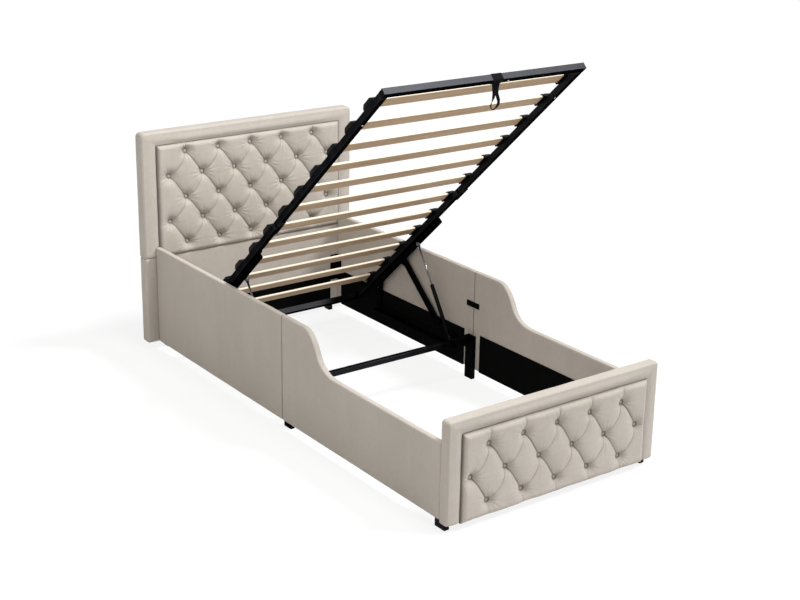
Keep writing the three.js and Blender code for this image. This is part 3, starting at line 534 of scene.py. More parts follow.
# A padded border round three sides of a panel: one section swept up, across and down.
# A section point lies d in from the outer edge and f forward of the board's back; share is
# 0 on the outer face and 1 on the inner one. The face swells by crown * sin(pi * t ^ power),
# with one crown and power along the top and a flatter, more even swell down the legs.
def borderSection(look):
    thick, edge, inner, back = look["thick"], look["edge"], look["inner"], look["edge"] / 2
    turn = np.linspace(0, math.pi / 2, 9)
    t = np.linspace(0, 1, 17)[1:-1]
    rise = np.linspace(0, 1, 8)[1:-1]
    low = np.linspace(0, 1, 5)[1:]
    parts = [
        (back * (1 - np.sin(turn)), back * (1 - np.cos(turn)), 0 * turn, 0 * turn),
        (0 * rise, back + (thick - edge - back) * rise, 0 * rise, 0 * rise),
        (edge * (1 - np.cos(turn)), thick - edge * (1 - np.sin(turn)), 0 * turn, 0 * turn),
        (edge * (1 - t) - inner * t, thick + 0 * t, t, t),
        (-inner * (1 - np.sin(turn)), thick - inner * (1 - np.cos(turn)), 1 + 0 * turn, 0 * turn),
        (0 * low, thick - inner - (look["recess"] - inner) * low, 1 + 0 * low, 0 * low),
        (np.zeros(1), np.zeros(1), np.ones(1), np.zeros(1)),
    ]
    return (np.concatenate([part[k] for part in parts])[None, :] for k in range(4))


# Both borders: the grid's spacing, the steps in a bend and its least radius, how far in from a
# leg the top's swell has grown to its full shape, and how much each leg's foot closes in.
borderLook = {"spacing": 16, "bendSteps": 7, "leastCorner": 4.0, "grow": 90, "growPower": 1.5,
              "legPower": 1.2, "foot": (0.93, 0.9, 1.0)}


# The path runs up the left leg, round a bend that is a quarter circle, and across the top,
# and mirrors for the right.
def borderPath(look, d, legSteps, bendSteps, topSteps):
    radius = np.maximum(look["corner"] - d, borderLook["leastCorner"])
    bend = d + radius
    halfWidth, bottom, top = look["halfWidth"], look["bottom"], look["top"]
    rise = np.linspace(0, 1, legSteps + 1)[:-1, None]
    angle = math.pi - np.linspace(0, 1, bendSteps + 1)[:, None] * math.pi / 2
    run = np.linspace(0, 1, topSteps + 1)[1:-1, None]
    x = np.concatenate([-halfWidth + d + 0 * rise, -halfWidth + bend + radius * np.cos(angle)])
    z = np.concatenate([bottom + (top - bend - bottom) * rise, top - bend + radius * np.sin(angle)])
    across = -halfWidth + bend + 2 * (halfWidth - bend) * run
    return (np.concatenate([x, across, -x[::-1]]),
            np.concatenate([z, top - d + 0 * run, z[::-1]]))


def paddedBorder(name, look, replaced):
    d, f, share, face = borderSection(look)
    steps = (int((look["top"] - look["bottom"]) / borderLook["spacing"]), borderLook["bendSteps"],
             int(2 * look["halfWidth"] / borderLook["spacing"]))
    x, _ = borderPath(look, d + look["sideBorder"] * share, *steps)
    _, z = borderPath(look, d + look["topBorder"] * share, *steps)
    inwards = look["halfWidth"] - look["sideBorder"] - np.abs(x[:, :1])
    inwards = np.clip(inwards / borderLook["grow"], 0, 1)
    grown = inwards ** borderLook["growPower"]
    crown = look["legCrown"] + (look["topCrown"] - look["legCrown"]) * grown
    power = borderLook["legPower"] + (look["topPower"] - borderLook["legPower"]) * inwards
    rings = bedPoints(x, look["back"] + f + crown * np.sin(math.pi * face ** power), z)
    # Each leg's foot tucks in over a few millimetres, so that the seam below shows as a groove.
    ends = rings[[0, -1]]
    full = ends + np.array([0, 0, look["tuck"]])
    middle = ends.mean(axis=1, keepdims=True)
    closed = middle + (ends - middle) * np.array(borderLook["foot"])
    rings = np.concatenate([closed[:1], full[:1], rings[1:-1], full[1:], closed[1:]])
    return addPiece(name, closedLoft(rings), "velvet", "base", replaced)


headBorder = {
    "halfWidth": bed["headHalf"], "bottom": bed["headSeam"] + bed["gap"] / 2, "top": 976,
    "sideBorder": 69, "topBorder": 60, "back": -bed["headThick"], "thick": bed["headThick"],
    "corner": 20, "edge": 12, "inner": 7, "recess": 25,
    "topCrown": 4.5, "topPower": 1.5, "legCrown": 2.4, "tuck": 4,
}
footBorder = {
    "halfWidth": bed["footHalf"], "bottom": 30, "top": 411,
    "sideBorder": 58, "topBorder": 55, "back": bed["length"], "thick": 42,
    "corner": 14, "edge": 10, "inner": 7, "recess": 18,
    "topCrown": 5.0, "topPower": 1.4, "legCrown": 2.6, "tuck": 4,
}
headBase = {"half": bed["headHalf"], "h": (-bed["headThick"], 0),
            "z": (36, bed["headSeam"] - bed["gap"] / 2), "radius": 10,
            "across": 76, "loop": (6, 24), "ends": 5}
boardRumple = {"amount": 0.8, "size": 130, "seed": 3}
boards = (
    paddedBorder("headBorder", headBorder, ("headboard_frame",)),
    roundedBoard("headBase", headBase, "velvet", ("headboard_base",)),
    paddedBorder("footBorder", footBorder, ("footboard_frame",)),
)
for number, piece in enumerate(boards):
    rumple(piece, boardRumple, boardRumple["seed"] + number)
print("boards made")


# Flat slabs with soft edges: a carrier behind each border, that the cloth is fixed to, and the
# cover on the headboard's back.
slabs = {
    "headCarrier": {"half": 467, "h": (-54, -26), "z": (426, 917), "radius": 1.5,
                    "finish": "lining"},
    "footCarrier": {"half": 428, "h": (2020.4, 2043), "z": (31, 357), "radius": 1.5,
                    "finish": "velvet"},
    "headDustCover": {"half": 505, "h": (-56, -54.4), "z": (70, 945), "radius": 0.6,
                      "finish": "lining"},
}
for name, look in slabs.items():
    roundedBoard(name, dict(look, across=2, loop=(3, 3), ends=3), look["finish"])


# Tufted panels. Folds run between the buttons of neighbouring rows: a sharp one down to the
# right and a softer, bowed one down to the left. Pleats run on to the edges. A panel fills its
# border's opening with a gap all round.
def panelIn(border, low, look):
    gap = bed["gap"]
    return dict(look, low=low, front=border["back"] + border["thick"],
                depth=border["recess"] - gap,
                width=2 * (border["halfWidth"] - border["sideBorder"] - gap),
                height=border["top"] - border["topBorder"] - gap - low)


# Each panel's look also sets what is painted: the highlight on the crests, the highlight on the
# button caps, and how wide the painted shade along the sides is.
headTufts = panelIn(headBorder, headBorder["bottom"], {
    "rows": 5, "wideCount": 6, "pitch": 162, "rowPitch": 101.5, "drop": 38.7,
    "grid": 2.3, "seed": 21, "top": 11, "sharp": 9, "soft": 6, "pleat": 3.5, "splay": 2,
    "sink": 18, "dimple": 23, "rim": 11, "bow": 13, "wrinkle": 2.4, "capHighlight": 0.7,
    "crest": 0.12, "edgeDark": 9, "sag": 1.0,
})
footTufts = panelIn(footBorder, 28, {
    "rows": 3, "wideCount": 6, "pitch": 154, "rowPitch": 105.5, "drop": 63.7,
    "grid": 2.2, "seed": 22, "top": 14, "sharp": 10.5, "soft": 7, "pleat": 5, "splay": 6,
    "sink": 16, "dimple": 21, "rim": 12, "bow": 14, "wrinkle": 1.9, "capHighlight": 0.15,
    "crest": 0.2, "edgeDark": 4, "sag": 3.0,
})
# What the folds of both panels share: reach is how far a fold pulls the cloth down, join how
# softly folds meet, and the dark values say how much shade is painted along each kind of line,
# where the pile also closes up. line and halo are the widths of that painted shade, and
# crestDepth is how far down the painted highlight on the crests reaches.
# The last two rows say how pleats run past the edge, stand apart, lean and bow.
foldLook = {
    "reach": 60, "flank": 2.2, "floor": 0.7, "join": 0.7, "sway": -1.5,
    "sharpDark": 1.0, "softDark": 0.45, "topDark": 0.4, "edgeDark": 0.3,
    "line": 2.2, "halo": 14, "haloShare": 0.1, "crestDepth": 4,
    "past": 5, "apart": 1.2, "splayShare": 0.8, "lean": 0.3, "topBow": -2.0,
    "lowLean": 1.5, "lowBow": 1.5, "endDrop": 3, "endBow": 4.0,
}
# Round a button: a narrow well inside the dimple, gathers that are strongest at gatherReach,
# a painted shadow line under the button's rim and a soft painted shade round it.
gatherLook = {
    "well": 3, "wellReach": 8, "rays": (13, 19), "rayPower": 0.6, "rayMean": 0.75,
    "turn": 6.28, "uneven": 0.6, "gatherReach": 16, "rim": 9.5, "rimLine": 2.4, "rimDark": 0.85,
    "shade": 19, "shadeDark": 0.28,
}
# Towards the border: the cloth rolls back over roll; shade is painted in the seams at the top and
# bottom, along the sides, and on the panel's back (behind).
panelEdge = {"roll": 22, "flatten": 0.7, "rollPower": 2.4, "seam": 2.6, "seamDark": 0.6,
             "sideDark": 0.95, "level": 0.01, "waveSize": 75, "wave": 0.7,
             "sagSize": 110, "sagReach": 60, "behind": 0.7}


# Rows alternate between one button fewer and the wide count, centred on the panel.
def buttonRows(tufts):
    rows = []
    for row in range(tufts["rows"]):
        count = tufts["wideCount"] - (row + 1) % 2
        x = (np.arange(count) - (count - 1) / 2) * tufts["pitch"]
        z = tufts["height"] - tufts["drop"] - row * tufts["rowPitch"]
        rows.append(np.stack([x, np.full(count, z)], -1))
    return rows


# A line from one place to another, pushed sideways by bow * sin(pi t) + sway * sin(2 pi t).
def foldLine(start, end, bow=0.0, sway=0.0, steps=10):
    t = np.linspace(0, 1, steps + 1)[:, None]
    run = np.asarray(end, float) - start
    side = np.array([run[1], -run[0]]) / np.linalg.norm(run)
    return start + run * t + side * (bow * np.sin(math.pi * t) + sway * np.sin(2 * math.pi * t))


# All lines of a panel, each with its depth and how dark it is: the folds between buttons, two
# pleats from each top button, one from each bottom button and one from the end of a wide row.
def foldLines(tufts):
    look, rows, pleat, lines = foldLook, buttonRows(tufts), tufts["pleat"], []
    for upper, lower in zip(rows[:-1], rows[1:]):
        for start in upper:
            for end in lower:
                step = end[0] - start[0]
                if 0 < step < tufts["pitch"]:
                    line = foldLine(start, end, 0.0, look["sway"])
                    lines.append((line, tufts["sharp"], look["sharpDark"]))
                elif 0 < -step < tufts["pitch"]:
                    line = foldLine(start, end, -tufts["bow"])
                    lines.append((line, tufts["soft"], look["softDark"]))
    for x, z in rows[0]:
        for side in (-1, 1):
            end = (x + side * tufts["splay"] * look["splayShare"] + look["lean"],
                   tufts["height"] + look["past"])
            line = foldLine((x + side * look["apart"], z), end, side * look["topBow"])
            lines.append((line, pleat, look["topDark"]))
    for x, z in rows[-1]:
        line = foldLine((x, z), (x + look["lowLean"], -look["past"]), look["lowBow"])
        lines.append((line, pleat, look["edgeDark"]))
    half = tufts["width"] / 2 + look["past"]
    for row in rows:
        for (x, z), side in ((row[0], -1), (row[-1], 1)):
            if abs(x) > (tufts["wideCount"] - 1.5) / 2 * tufts["pitch"]:
                end = (side * half, z - look["endDrop"])
                line = foldLine((x, z), end, side * look["endBow"])
                lines.append((line, pleat, look["edgeDark"]))
    return lines


# Distance to a line of straight pieces: the least over the pieces of the distance to
# a + t * (b - a), where t is the point's own share along the piece, kept within 0 and 1.
def lineDistance(x, z, line):
    best = np.full(x.shape, 1e9)
    for (ax, az), (bx, bz) in zip(line[:-1], line[1:]):
        dx, dz = bx - ax, bz - az
        t = np.clip(((x - ax) * dx + (z - az) * dz) / (dx * dx + dz * dz), 0, 1)
        best = np.minimum(best, (x - ax - t * dx) ** 2 + (z - az - t * dz) ** 2)
    return np.sqrt(best)


# A soft bell: 1 on the line and nearly 0 at twice its width.
def bell(distance, width):
    return np.exp(-(distance / width) ** 2)


# The folds' height and the shade painted along them. Each fold alone gives
# -depth * (1 - (1 - near ^ flank) ^ floor), where near falls from 1 on its line to 0 at reach, and
# the folds join by a soft minimum.
def foldSurface(x, z, tufts):
    look = foldLook
    shade, soft, total = np.zeros(x.shape), np.zeros(x.shape), np.zeros(x.shape)
    for line, depth, dark in foldLines(tufts):
        d = lineDistance(x, z, line)
        near = 1 - np.clip(d / look["reach"], 0, 1)
        fall = 1 - (1 - near ** look["flank"]) ** look["floor"]
        total += np.exp(look["join"] * depth * fall) - 1
        shade = np.maximum(shade, dark * bell(d, look["line"]))
        soft = np.maximum(soft, look["haloShare"] * dark * bell(d, look["halo"]))
    height = -np.log1p(total) / look["join"]
    # A highlight is painted on the crests, up to the panel's highlight value where the cloth stands
    # highest.
    highlightShare = np.clip(1 + height / look["crestDepth"], 0, 1) ** 2
    return height, np.maximum(shade, soft - tufts["crest"] * highlightShare)


# Height of the cloth over the frame's face, and how much shade is painted there. Each button takes
# away sink * bell(away, dimple) and a narrow well, and adds gathers, wrinkle * (rays - mean) *
# r * exp(1 - r) with r = away / gatherReach, where rays is |sin(count * angle / 2)| ^ rayPower,
# made uneven round the button. The edge rolls back by rim * inward ^ rollPower.
def tuftSurface(x, z, tufts):
    look, edgeLook = gatherLook, panelEdge
    height, shade = foldSurface(x, z, tufts)
    turns = np.random.default_rng(tufts["seed"])
    for bx, bz in np.concatenate(buttonRows(tufts)):
        away, angle = np.hypot(x - bx, z - bz), np.arctan2(z - bz, x - bx)
        height -= tufts["sink"] * bell(away, tufts["dimple"])
        height -= look["well"] * np.exp(-away / look["wellReach"])
        count = turns.integers(*look["rays"])
        phase = turns.uniform(0, look["turn"])
        other = turns.uniform(0, look["turn"])
        rays = np.abs(np.sin(count * angle / 2 + phase)) ** look["rayPower"]
        rays *= 1 + look["uneven"] * np.sin(2 * angle + other)
        r = away / look["gatherReach"]
        height += tufts["wrinkle"] * (rays - look["rayMean"]) * r * np.exp(1 - r)
        # Painted shadow under the button's rim and painted shade round it.
        under = bell(np.maximum(away - look["rim"], 0), look["rimLine"])
        shade = np.maximum(shade, look["rimDark"] * under)
        shade = np.maximum(shade, look["shadeDark"] * bell(away, look["shade"]))
    side, level = tufts["width"] / 2 - np.abs(x), np.minimum(tufts["height"] - z, z)
    inward = 1 - np.clip(np.minimum(side, level) / edgeLook["roll"], 0, 1)
    height = tufts["top"] + height * (1 - edgeLook["flatten"] * inward ** 2)
    height -= tufts["rim"] * inward ** edgeLook["rollPower"]
    # Painted shade in the seams at the top and bottom and in the grooves at the sides.
    for dark in (edgeLook["seamDark"] * bell(level, edgeLook["seam"]),
                 edgeLook["sideDark"] * bell(side, tufts["edgeDark"])):
        shade = np.maximum(shade, dark - edgeLook["level"])
    places = np.stack([x, 0 * x, z], -1).reshape(-1, 3)
    wave = unevenness(places, edgeLook["waveSize"], tufts["seed"] + 5)
    return height + edgeLook["wave"] * wave.reshape(x.shape), shade


# The surface over a grid of the panel, closed by walls round its rim and a fan behind.
def tuftedPanel(name, tufts, replaced):
    columns, rows = int(tufts["width"] / tufts["grid"]), int(tufts["height"] / tufts["grid"])
    x, z = np.meshgrid(np.linspace(-tufts["width"] / 2, tufts["width"] / 2, columns),
                       np.linspace(0, tufts["height"], rows))
    height, shade = tuftSurface(x, z, tufts)
    # The lower edge hangs in shallow waves, which die out further up.
    places = np.stack([x, 0 * x, 0 * x], -1).reshape(-1, 3)
    wave = unevenness(places, panelEdge["sagSize"], tufts["seed"] + 9).reshape(x.shape)
    z = z + tufts["sag"] * wave * np.clip(1 - z / panelEdge["sagReach"], 0, 1)
    front = bedPoints(x, tufts["front"] + height, z + tufts["low"]).reshape(-1, 3)
    rim = np.concatenate([np.arange(columns), np.arange(1, rows) * columns + columns - 1,
                          (rows - 1) * columns + np.arange(columns - 2, -1, -1),
                          np.arange(rows - 2, 0, -1) * columns])
    back = front[rim].copy()
    back[:, 1] = headFaceY - tufts["front"] + tufts["depth"]
    start, count = len(front), len(rim)
    here = np.arange(count)
    following = (here + 1) % count
    walls = np.stack([rim[following], rim, start + here, start + following], -1).tolist()
    faces = gridFaces(rows, columns) + walls
    faces += fanFaces(start + count, start + following, start + here)
    points = np.concatenate([front, back, [back.mean(0)]])
    piece = addPiece(name, (points, faces), "velvet", "base", replaced)
    # The panel's back, inside the recess, gets painted shade.
    behind = np.full(count + 1, panelEdge["behind"])
    setAttribute(piece, "foldShade", np.concatenate([shade.ravel(), behind]))


# Cloth-covered buttons: a dome inside a raised ring. Each row is radius, rise and painted shade,
# which is a painted highlight where it is below 0.
buttonOutline = np.array([
    (9.0, -7, 1.0), (10.0, 1.0, 1.0), (10.4, 3.6, 0.6), (9.9, 5.7, 0.1), (8.8, 6.8, -0.6),
    (7.7, 6.8, 0.2), (7.0, 6.8, 0.25), (5.9, 8.2, -0.3), (4.2, 9.3, -0.8), (2.1, 10.0, -1.0)])
buttonTop = 10.2
buttonSteps = 28


# The outline turned about each button's place: centre + radius * (cos(angle), sin(angle)),
# standing on the cloth by its rise, with a middle point in front and one behind.
def buttonSet(name, tufts):
    steps, rings = buttonSteps, len(buttonOutline)
    centres = np.concatenate(buttonRows(tufts))
    seats, _ = tuftSurface(centres[:, 0], centres[:, 1], dict(tufts, wrinkle=0.0))
    angle = np.arange(steps) * 2 * math.pi / steps
    radius, rise = (buttonOutline[None, :, k, None] for k in range(2))
    x = centres[:, 0, None, None] + radius * np.cos(angle)
    z = centres[:, 1, None, None] + radius * np.sin(angle) + tufts["low"]
    h = tufts["front"] + seats[:, None, None] + rise + 0 * x
    sides = bedPoints(x, h, z).reshape(len(centres), -1, 3)
    poles = [bedPoints(centres[:, 0], tufts["front"] + seats + level, centres[:, 1] + tufts["low"])
             for level in (buttonTop, buttonOutline[0, 1])]
    copies = np.concatenate([sides, poles[0][:, None], poles[1][:, None]], axis=1)
    here, following = np.arange(steps), (np.arange(steps) + 1) % steps
    last = (rings - 1) * steps
    faces = gridFaces(rings, steps, wrap=True)
    faces += fanFaces(rings * steps, last + here, last + following)
    faces += fanFaces(rings * steps + 1, following, here)
    piece = addPiece(name, repeated(copies, faces), "velvet", "base")
    # A painted shadow ring round each button's foot, and a painted highlight on its cap.
    dark = buttonOutline[:, 2] * np.where(buttonOutline[:, 2] < 0, tufts["capHighlight"], 1.0)
    shade = np.concatenate([np.repeat(dark, steps), [-tufts["capHighlight"], 1.0]])
    setAttribute(piece, "foldShade", np.tile(shade, len(centres)))


tuftedPanel("headTufting", headTufts, ("headboard_tufted_panel",))
tuftedPanel("footTufting", footTufts, ("footboard_tufted_panel",))
buttonSet("headButtons", headTufts)
buttonSet("footButtons", footTufts)
print("tufting made")


# A rail is a rounded section whose top follows a line; the front rails drop in an S-shaped sweep.
rails = {
    "inner": 460, "outer": bed["footHalf"], "low": 38, "top": 471, "lowTop": 323.5, "edge": 7,
    "sweepStart": 1175, "sweepLength": 210, "spacing": 12, "loop": (6, 20),
    "seamDark": 0.9, "seamReach": 2.5,
}
sweepUpper = np.array([[0, 0], [0.22, 0], [0.365, 0.335], [0.44, 0.56]])
sweepLower = np.array([[0.44, 0.56], [0.535, 0.845], [0.74, 1], [1, 1]])
railRumple = {"amount": 0.6, "size": 140, "rearSeed": 11, "foreSeed": 15}


# A cubic curve from a to d, drawn towards b and c on the way: (1 - t)^3 a + 3 (1 - t)^2 t b
# + 3 (1 - t) t^2 c + t^3 d.
def cubicCurve(control, t):
    t = t[:, None]
    return ((1 - t) ** 3 * control[0] + 3 * (1 - t) ** 2 * t * control[1]
            + 3 * (1 - t) * t ** 2 * control[2] + t ** 3 * control[3])


# The sweep as places along the rail and heights: two cubic curves, one after the other, whose
# shares run from 0 to 1 over the sweep's length and over its drop.
def sweepLine():
    t = np.linspace(0, 1, 25)
    shares = np.concatenate([cubicCurve(sweepUpper, t), cubicCurve(sweepLower, t)[1:]])
    return (rails["sweepStart"] + shares[:, 0] * rails["sweepLength"],
            rails["top"] - shares[:, 1] * (rails["top"] - rails["lowTop"]))


sweepH, sweepZ = sweepLine()


# Sections stand at even places along the rail, and at the sweep's own places within it.
def railPiece(name, side, start, end, replaced):
    radius = rails["edge"]
    sweep = [h for h in sweepH if start + radius + 1 < h < end - radius - 1]
    count = int((end - start) / rails["spacing"])
    middle = list(np.linspace(start + radius, end - radius, count)[1:-1])
    if sweep:
        middle = [h for h in middle if not sweep[0] - 3 < h < sweep[-1] + 3] + sweep

    def sectionAt(h, inset):
        top = float(np.interp(h, sweepH, sweepZ))
        return insetLoop((rails["inner"], rails["low"]), (rails["outer"], top), radius, inset,
                         *rails["loop"])

    def layAt(h, loop):
        return bedPoints(side * loop[:, 0], h, loop[:, 1])

    shape = barThrough(roundEnds(start, end, radius, sorted(middle)), sectionAt, layAt)
    piece = addPiece(name, shape, "velvet", "base", replaced)
    # Shade is painted into the seam, where the cloth turns in.
    away = np.abs(headFaceY - shape[0][:, 1] - bed["railSeam"])
    setAttribute(piece, "foldShade", rails["seamDark"] * bell(away, rails["seamReach"]))
    return piece


for word, side in (("left", -1), ("right", 1)):
    rear = railPiece(f"rearRail_{word}", side, bed["gap"], bed["railSeam"] - bed["gap"] / 2,
                     (f"rail_rear_{word}",))
    fore = railPiece(f"frontRail_{word}", side, bed["railSeam"] + bed["gap"] / 2,
                     bed["length"] - bed["gap"], (f"rail_front_{word}",))
    rumple(rear, railRumple, railRumple["rearSeed"] + side)
    rumple(fore, railRumple, railRumple["foreSeed"] + side)
print("rails made")


# On the platform s runs from its foot end to its head end and m from the tubes to the mattress.
tilt = math.radians(42.5)
platformEnd = {"h": 1631.6, "z": 1422.8}


# A point of the platform, turned about its foot end: s * (cos, sin) of the tilt back and down,
# and m square to that.
def platformPoints(x, s, m):
    x, s, m = np.broadcast_arrays(np.asarray(x, float), s, m)
    h = platformEnd["h"] - s * math.cos(tilt) - m * math.sin(tilt)
    z = platformEnd["z"] - s * math.sin(tilt) + m * math.cos(tilt)
    return bedPoints(x, h, z)


# A section across the platform's length, on one side of the bed.
def layAlong(side):
    return lambda s, loop: platformPoints(side * loop[:, 0], s, loop[:, 1])


# Square side tubes with rounded edges, in two halves that meet on a plate.
tubes = {
    "inner": 427, "outer": 452, "size": 25, "corner": 2.4, "bevel": 0.7, "loop": (5, 3),
    "foot": 25.3, "split": 940, "head": 1914.7, "sections": 50,
}
splice = {"along": (894.5, 985.5), "m": (-3.3, -0.2), "bevel": 0.8, "loop": (3, 3),
          "bolts": (917.25, 962.75), "boltStand": 0.2}
screws = {"places": ((-438, 199), (438, 199), (90, 16)), "seat": 0.2, "steps": 24}
boltOutline = [(6.2, 0), (6.2, 1.4), (5.6, 2.4), (4.4, 2.9), (3.2, 3.0), (3.0, 1.2)]
screwOutline = [(3.6, 0), (3.6, 0.7), (2.9, 1.5), (1.6, 1.9), (1.1, 1.0)]


def sideTube(name, side, start, end, replaced):
    def sectionAt(_, inset):
        return roundedLoop((tubes["inner"] + inset, inset),
                           (tubes["outer"] - inset, tubes["size"] - inset), tubes["corner"],
                           *tubes["loop"])

    middle = np.linspace(start, end, tubes["sections"])[1:-1]
    shape = barThrough(bevelEnds(start, end, tubes["bevel"], middle), sectionAt, layAlong(side))
    addPiece(name, shape, "tubes", "platform", replaced)


# The plate under the joint of the two halves, and a bolt head in each half's inner face.
def splicePlate(word, side):
    def sectionAt(_, inset):
        return roundedLoop((tubes["inner"] + inset, splice["m"][0] + inset),
                           (tubes["outer"] - inset, splice["m"][1] - inset * 0.3),
                           splice["bevel"], *splice["loop"])

    places = bevelEnds(*splice["along"], splice["bevel"])
    addPiece(f"splicePlate_{word}", barThrough(places, sectionAt, layAlong(side)), "tubes",
             "platform")
    for number, s in enumerate(splice["bolts"]):
        seat = platformPoints(side * (tubes["inner"] + splice["boltStand"]), s, tubes["size"] / 2)
        shape = closedLoft(turnedRings(seat, (-side, 0, 0), boltOutline))
        addPiece(f"spliceBolt_{word}_{number}", shape, "tubes", "platform")


# Small plated screws in the undersides of the tubes.
def tubeScrews():
    below = platformPoints(0, 0, -1) - platformPoints(0, 0, 0)
    for number, (x, s) in enumerate(screws["places"]):
        seat = platformPoints(x, s, screws["seat"])
        shape = closedLoft(turnedRings(seat, below, screwOutline, screws["steps"]))
        addPiece(f"tubeScrew_{number}", shape, "plated", "platform")


slats = {"count": 12, "first": 108, "pitch": 150, "half": 430, "wide": 52, "thick": 10,
         "under": 27, "edge": 3.2, "sections": 61, "grainStep": 1.37}
holders = {"inner": 416, "outer": 450.5, "base": 36, "low": 24.9, "high": 43.2, "corner": 2.0,
           "levels": (24, 33, 43.2), "shares": (1.0, 0.95, 0.62), "clear": 0.4,
           "edge": 1.4, "halfEdge": 0.4, "mouth": 1.2, "behind": 0.5, "loop": (4, 6)}


# Holders: a block that tapers upwards, with a pocket in its inner face for the slat's end.
# The rings run over the outer face, along the block, over the inner face and into the pocket.
def slatHolders(word, side):
    look, base, clear = holders, holders["base"], holders["clear"]
    inner, outer, edge, halfEdge = (look[k] for k in ("inner", "outer", "edge", "halfEdge"))

    def blockLoop(inset):
        loop = roundedLoop((inset - base, look["low"] + inset),
                           (base - inset, look["high"] - inset), look["corner"], *look["loop"])
        loop[:, 0] *= np.interp(loop[:, 1], look["levels"], look["shares"])
        return loop

    pocket = roundedLoop((-slats["wide"] / 2 - clear, slats["under"] - clear),
                         (slats["wide"] / 2 + clear, slats["under"] + slats["thick"] + clear),
                         look["mouth"], *look["loop"])
    steps = ((outer, blockLoop(edge)), (outer - halfEdge, blockLoop(halfEdge)),
             (outer - edge, blockLoop(0)), (inner + edge, blockLoop(0)),
             (inner + halfEdge, blockLoop(halfEdge)), (inner, blockLoop(look["mouth"])),
             (inner, pocket), (slats["half"] + look["behind"], pocket))
    blocks = [closedLoft([platformPoints(side * x, s + loop[:, 0], loop[:, 1])
                          for x, loop in steps])
              for s in slats["first"] + np.arange(slats["count"]) * slats["pitch"]]
    copies = np.stack([points for points, _ in blocks])
    addPiece(f"slatHolders_{word}", repeated(copies, blocks[0][1]), "plastic", "platform")


for word, side in (("left", -1), ("right", 1)):
    sideTube(f"sideTubeFoot_{word}", side, tubes["foot"], tubes["split"] - bed["gap"] / 2,
             (f"side_tube_foot_{word}",))
    sideTube(f"sideTubeHead_{word}", side, tubes["split"] + bed["gap"] / 2, tubes["head"],
             (f"side_tube_head_{word}",))
    splicePlate(word, side)
    slatHolders(word, side)
tubeScrews()


# A flat slat with rounded edges. Each slat reads another stretch of the wood's grain.
def makeSlat(index):
    x = np.linspace(-slats["half"], slats["half"], slats["sections"])[:, None]
    across, through = roundedLoop((-slats["wide"] / 2, 0), (slats["wide"] / 2, slats["thick"]),
                                  slats["edge"], 4, 4).T
    along = slats["first"] + index * slats["pitch"]
    shape = closedLoft(platformPoints(x, along + across, slats["under"] + through))
    piece = addPiece(f"plySlat_{index + 1:02d}", shape, "beech", "platform",
                     (f"slat_{index + 1:02d}",))
    local = np.stack(np.broadcast_arrays(x, across, through - slats["thick"] / 2), -1)
    ends = [[-slats["half"], 0, 0], [slats["half"], 0, 0]]
    local = np.concatenate([local.reshape(-1, 3), ends]) * mm
    setAttribute(piece, "slatSpace", local + np.array([index * slats["grainStep"], 0, 0]))


for index in range(slats["count"]):
    makeSlat(index)
print("platform made")


# The bar between the middle legs.
crossBar = {"end": 441.3, "h": (1013, 1035), "z": (168, 190), "corner": 2.2, "bevel": 0.6,
            "loop": (5, 3)}


def makeCrossBar():
    def sectionAt(_, inset):
        (h0, h1), (z0, z1) = crossBar["h"], crossBar["z"]
        return roundedLoop((h0 + inset, z0 + inset), (h1 - inset, z1 - inset),
                           crossBar["corner"], *crossBar["loop"])

    places = bevelEnds(-crossBar["end"], crossBar["end"], crossBar["bevel"], (0.0,))
    addPiece("crossBar", barThrough(places, sectionAt, layAcross), "tubes", "base",
             ("cross_bar",))


makeCrossBar()


# A ribbon: a thin rounded section carried along a line, each point being centre + flat * depth
# + width * breadth * taper. widths gives the direction of its breadth at each place and flats
# the direction through it; taper scales the breadth.
def ribbon(name, centres, widths, flats, wide, thick, replaced=(), taper=1.0, closed=False):
    taper = np.broadcast_to(taper, len(centres))
    loop = roundedLoop((-wide / 2, -thick / 2), (wide / 2, thick / 2), thick * 0.45, 3, 8)
    rings = (centres[:, None, :] + loop[None, :, 1:] * flats[:, None, :]
             + loop[None, :, :1] * taper[:, None, None] * widths[:, None, :])
    run = np.concatenate([[0], np.cumsum(np.linalg.norm(np.diff(centres, axis=0), axis=1))])
    local = np.stack(np.broadcast_arrays(loop[None, :, 0], run[:, None], loop[None, :, 1]), -1)
    local = local.reshape(-1, 3)
    if not closed:
        local = np.concatenate([local, local[:1], local[-1:]])
    shape = ringLoft(rings) if closed else closedLoft(rings)
    piece = addPiece(name, shape, "webbing", "platform", replaced)
    setAttribute(piece, "strapSpace", local * mm)


# The pull strap: a band round the foot tube, a neck that hangs from the tube's lowest edge, and
# an open loop. loopLine holds x and z below the neck; loopTurn is the ribbon's heading there.
strap = {
    "x": 36.5, "band": 45, "tube": 25, "clear": 0.3, "thick": 1.7, "corner": 3.0,
    "neck": 37, "neckFoot": 26, "neckLength": 44, "neckThick": 3.6, "neckTop": 2,
    "neckSway": 0.8, "neckPower": 2.2, "neckSteps": 16, "loopRibbon": 14, "loopThick": 2.4,
    "loopLine": ((-7, 6), (-8.5, -4), (-12.5, -16), (-18, -28), (-19.5, -39), (-12, -47),
                 (-3, -45), (6, -39.5), (13.5, -31), (15.5, -19), (11, -7), (7, 5)),
    "loopTurn": (90, 80, 56, 34, 28, 26, 60, 72, 80, 86, 90, 90),
}


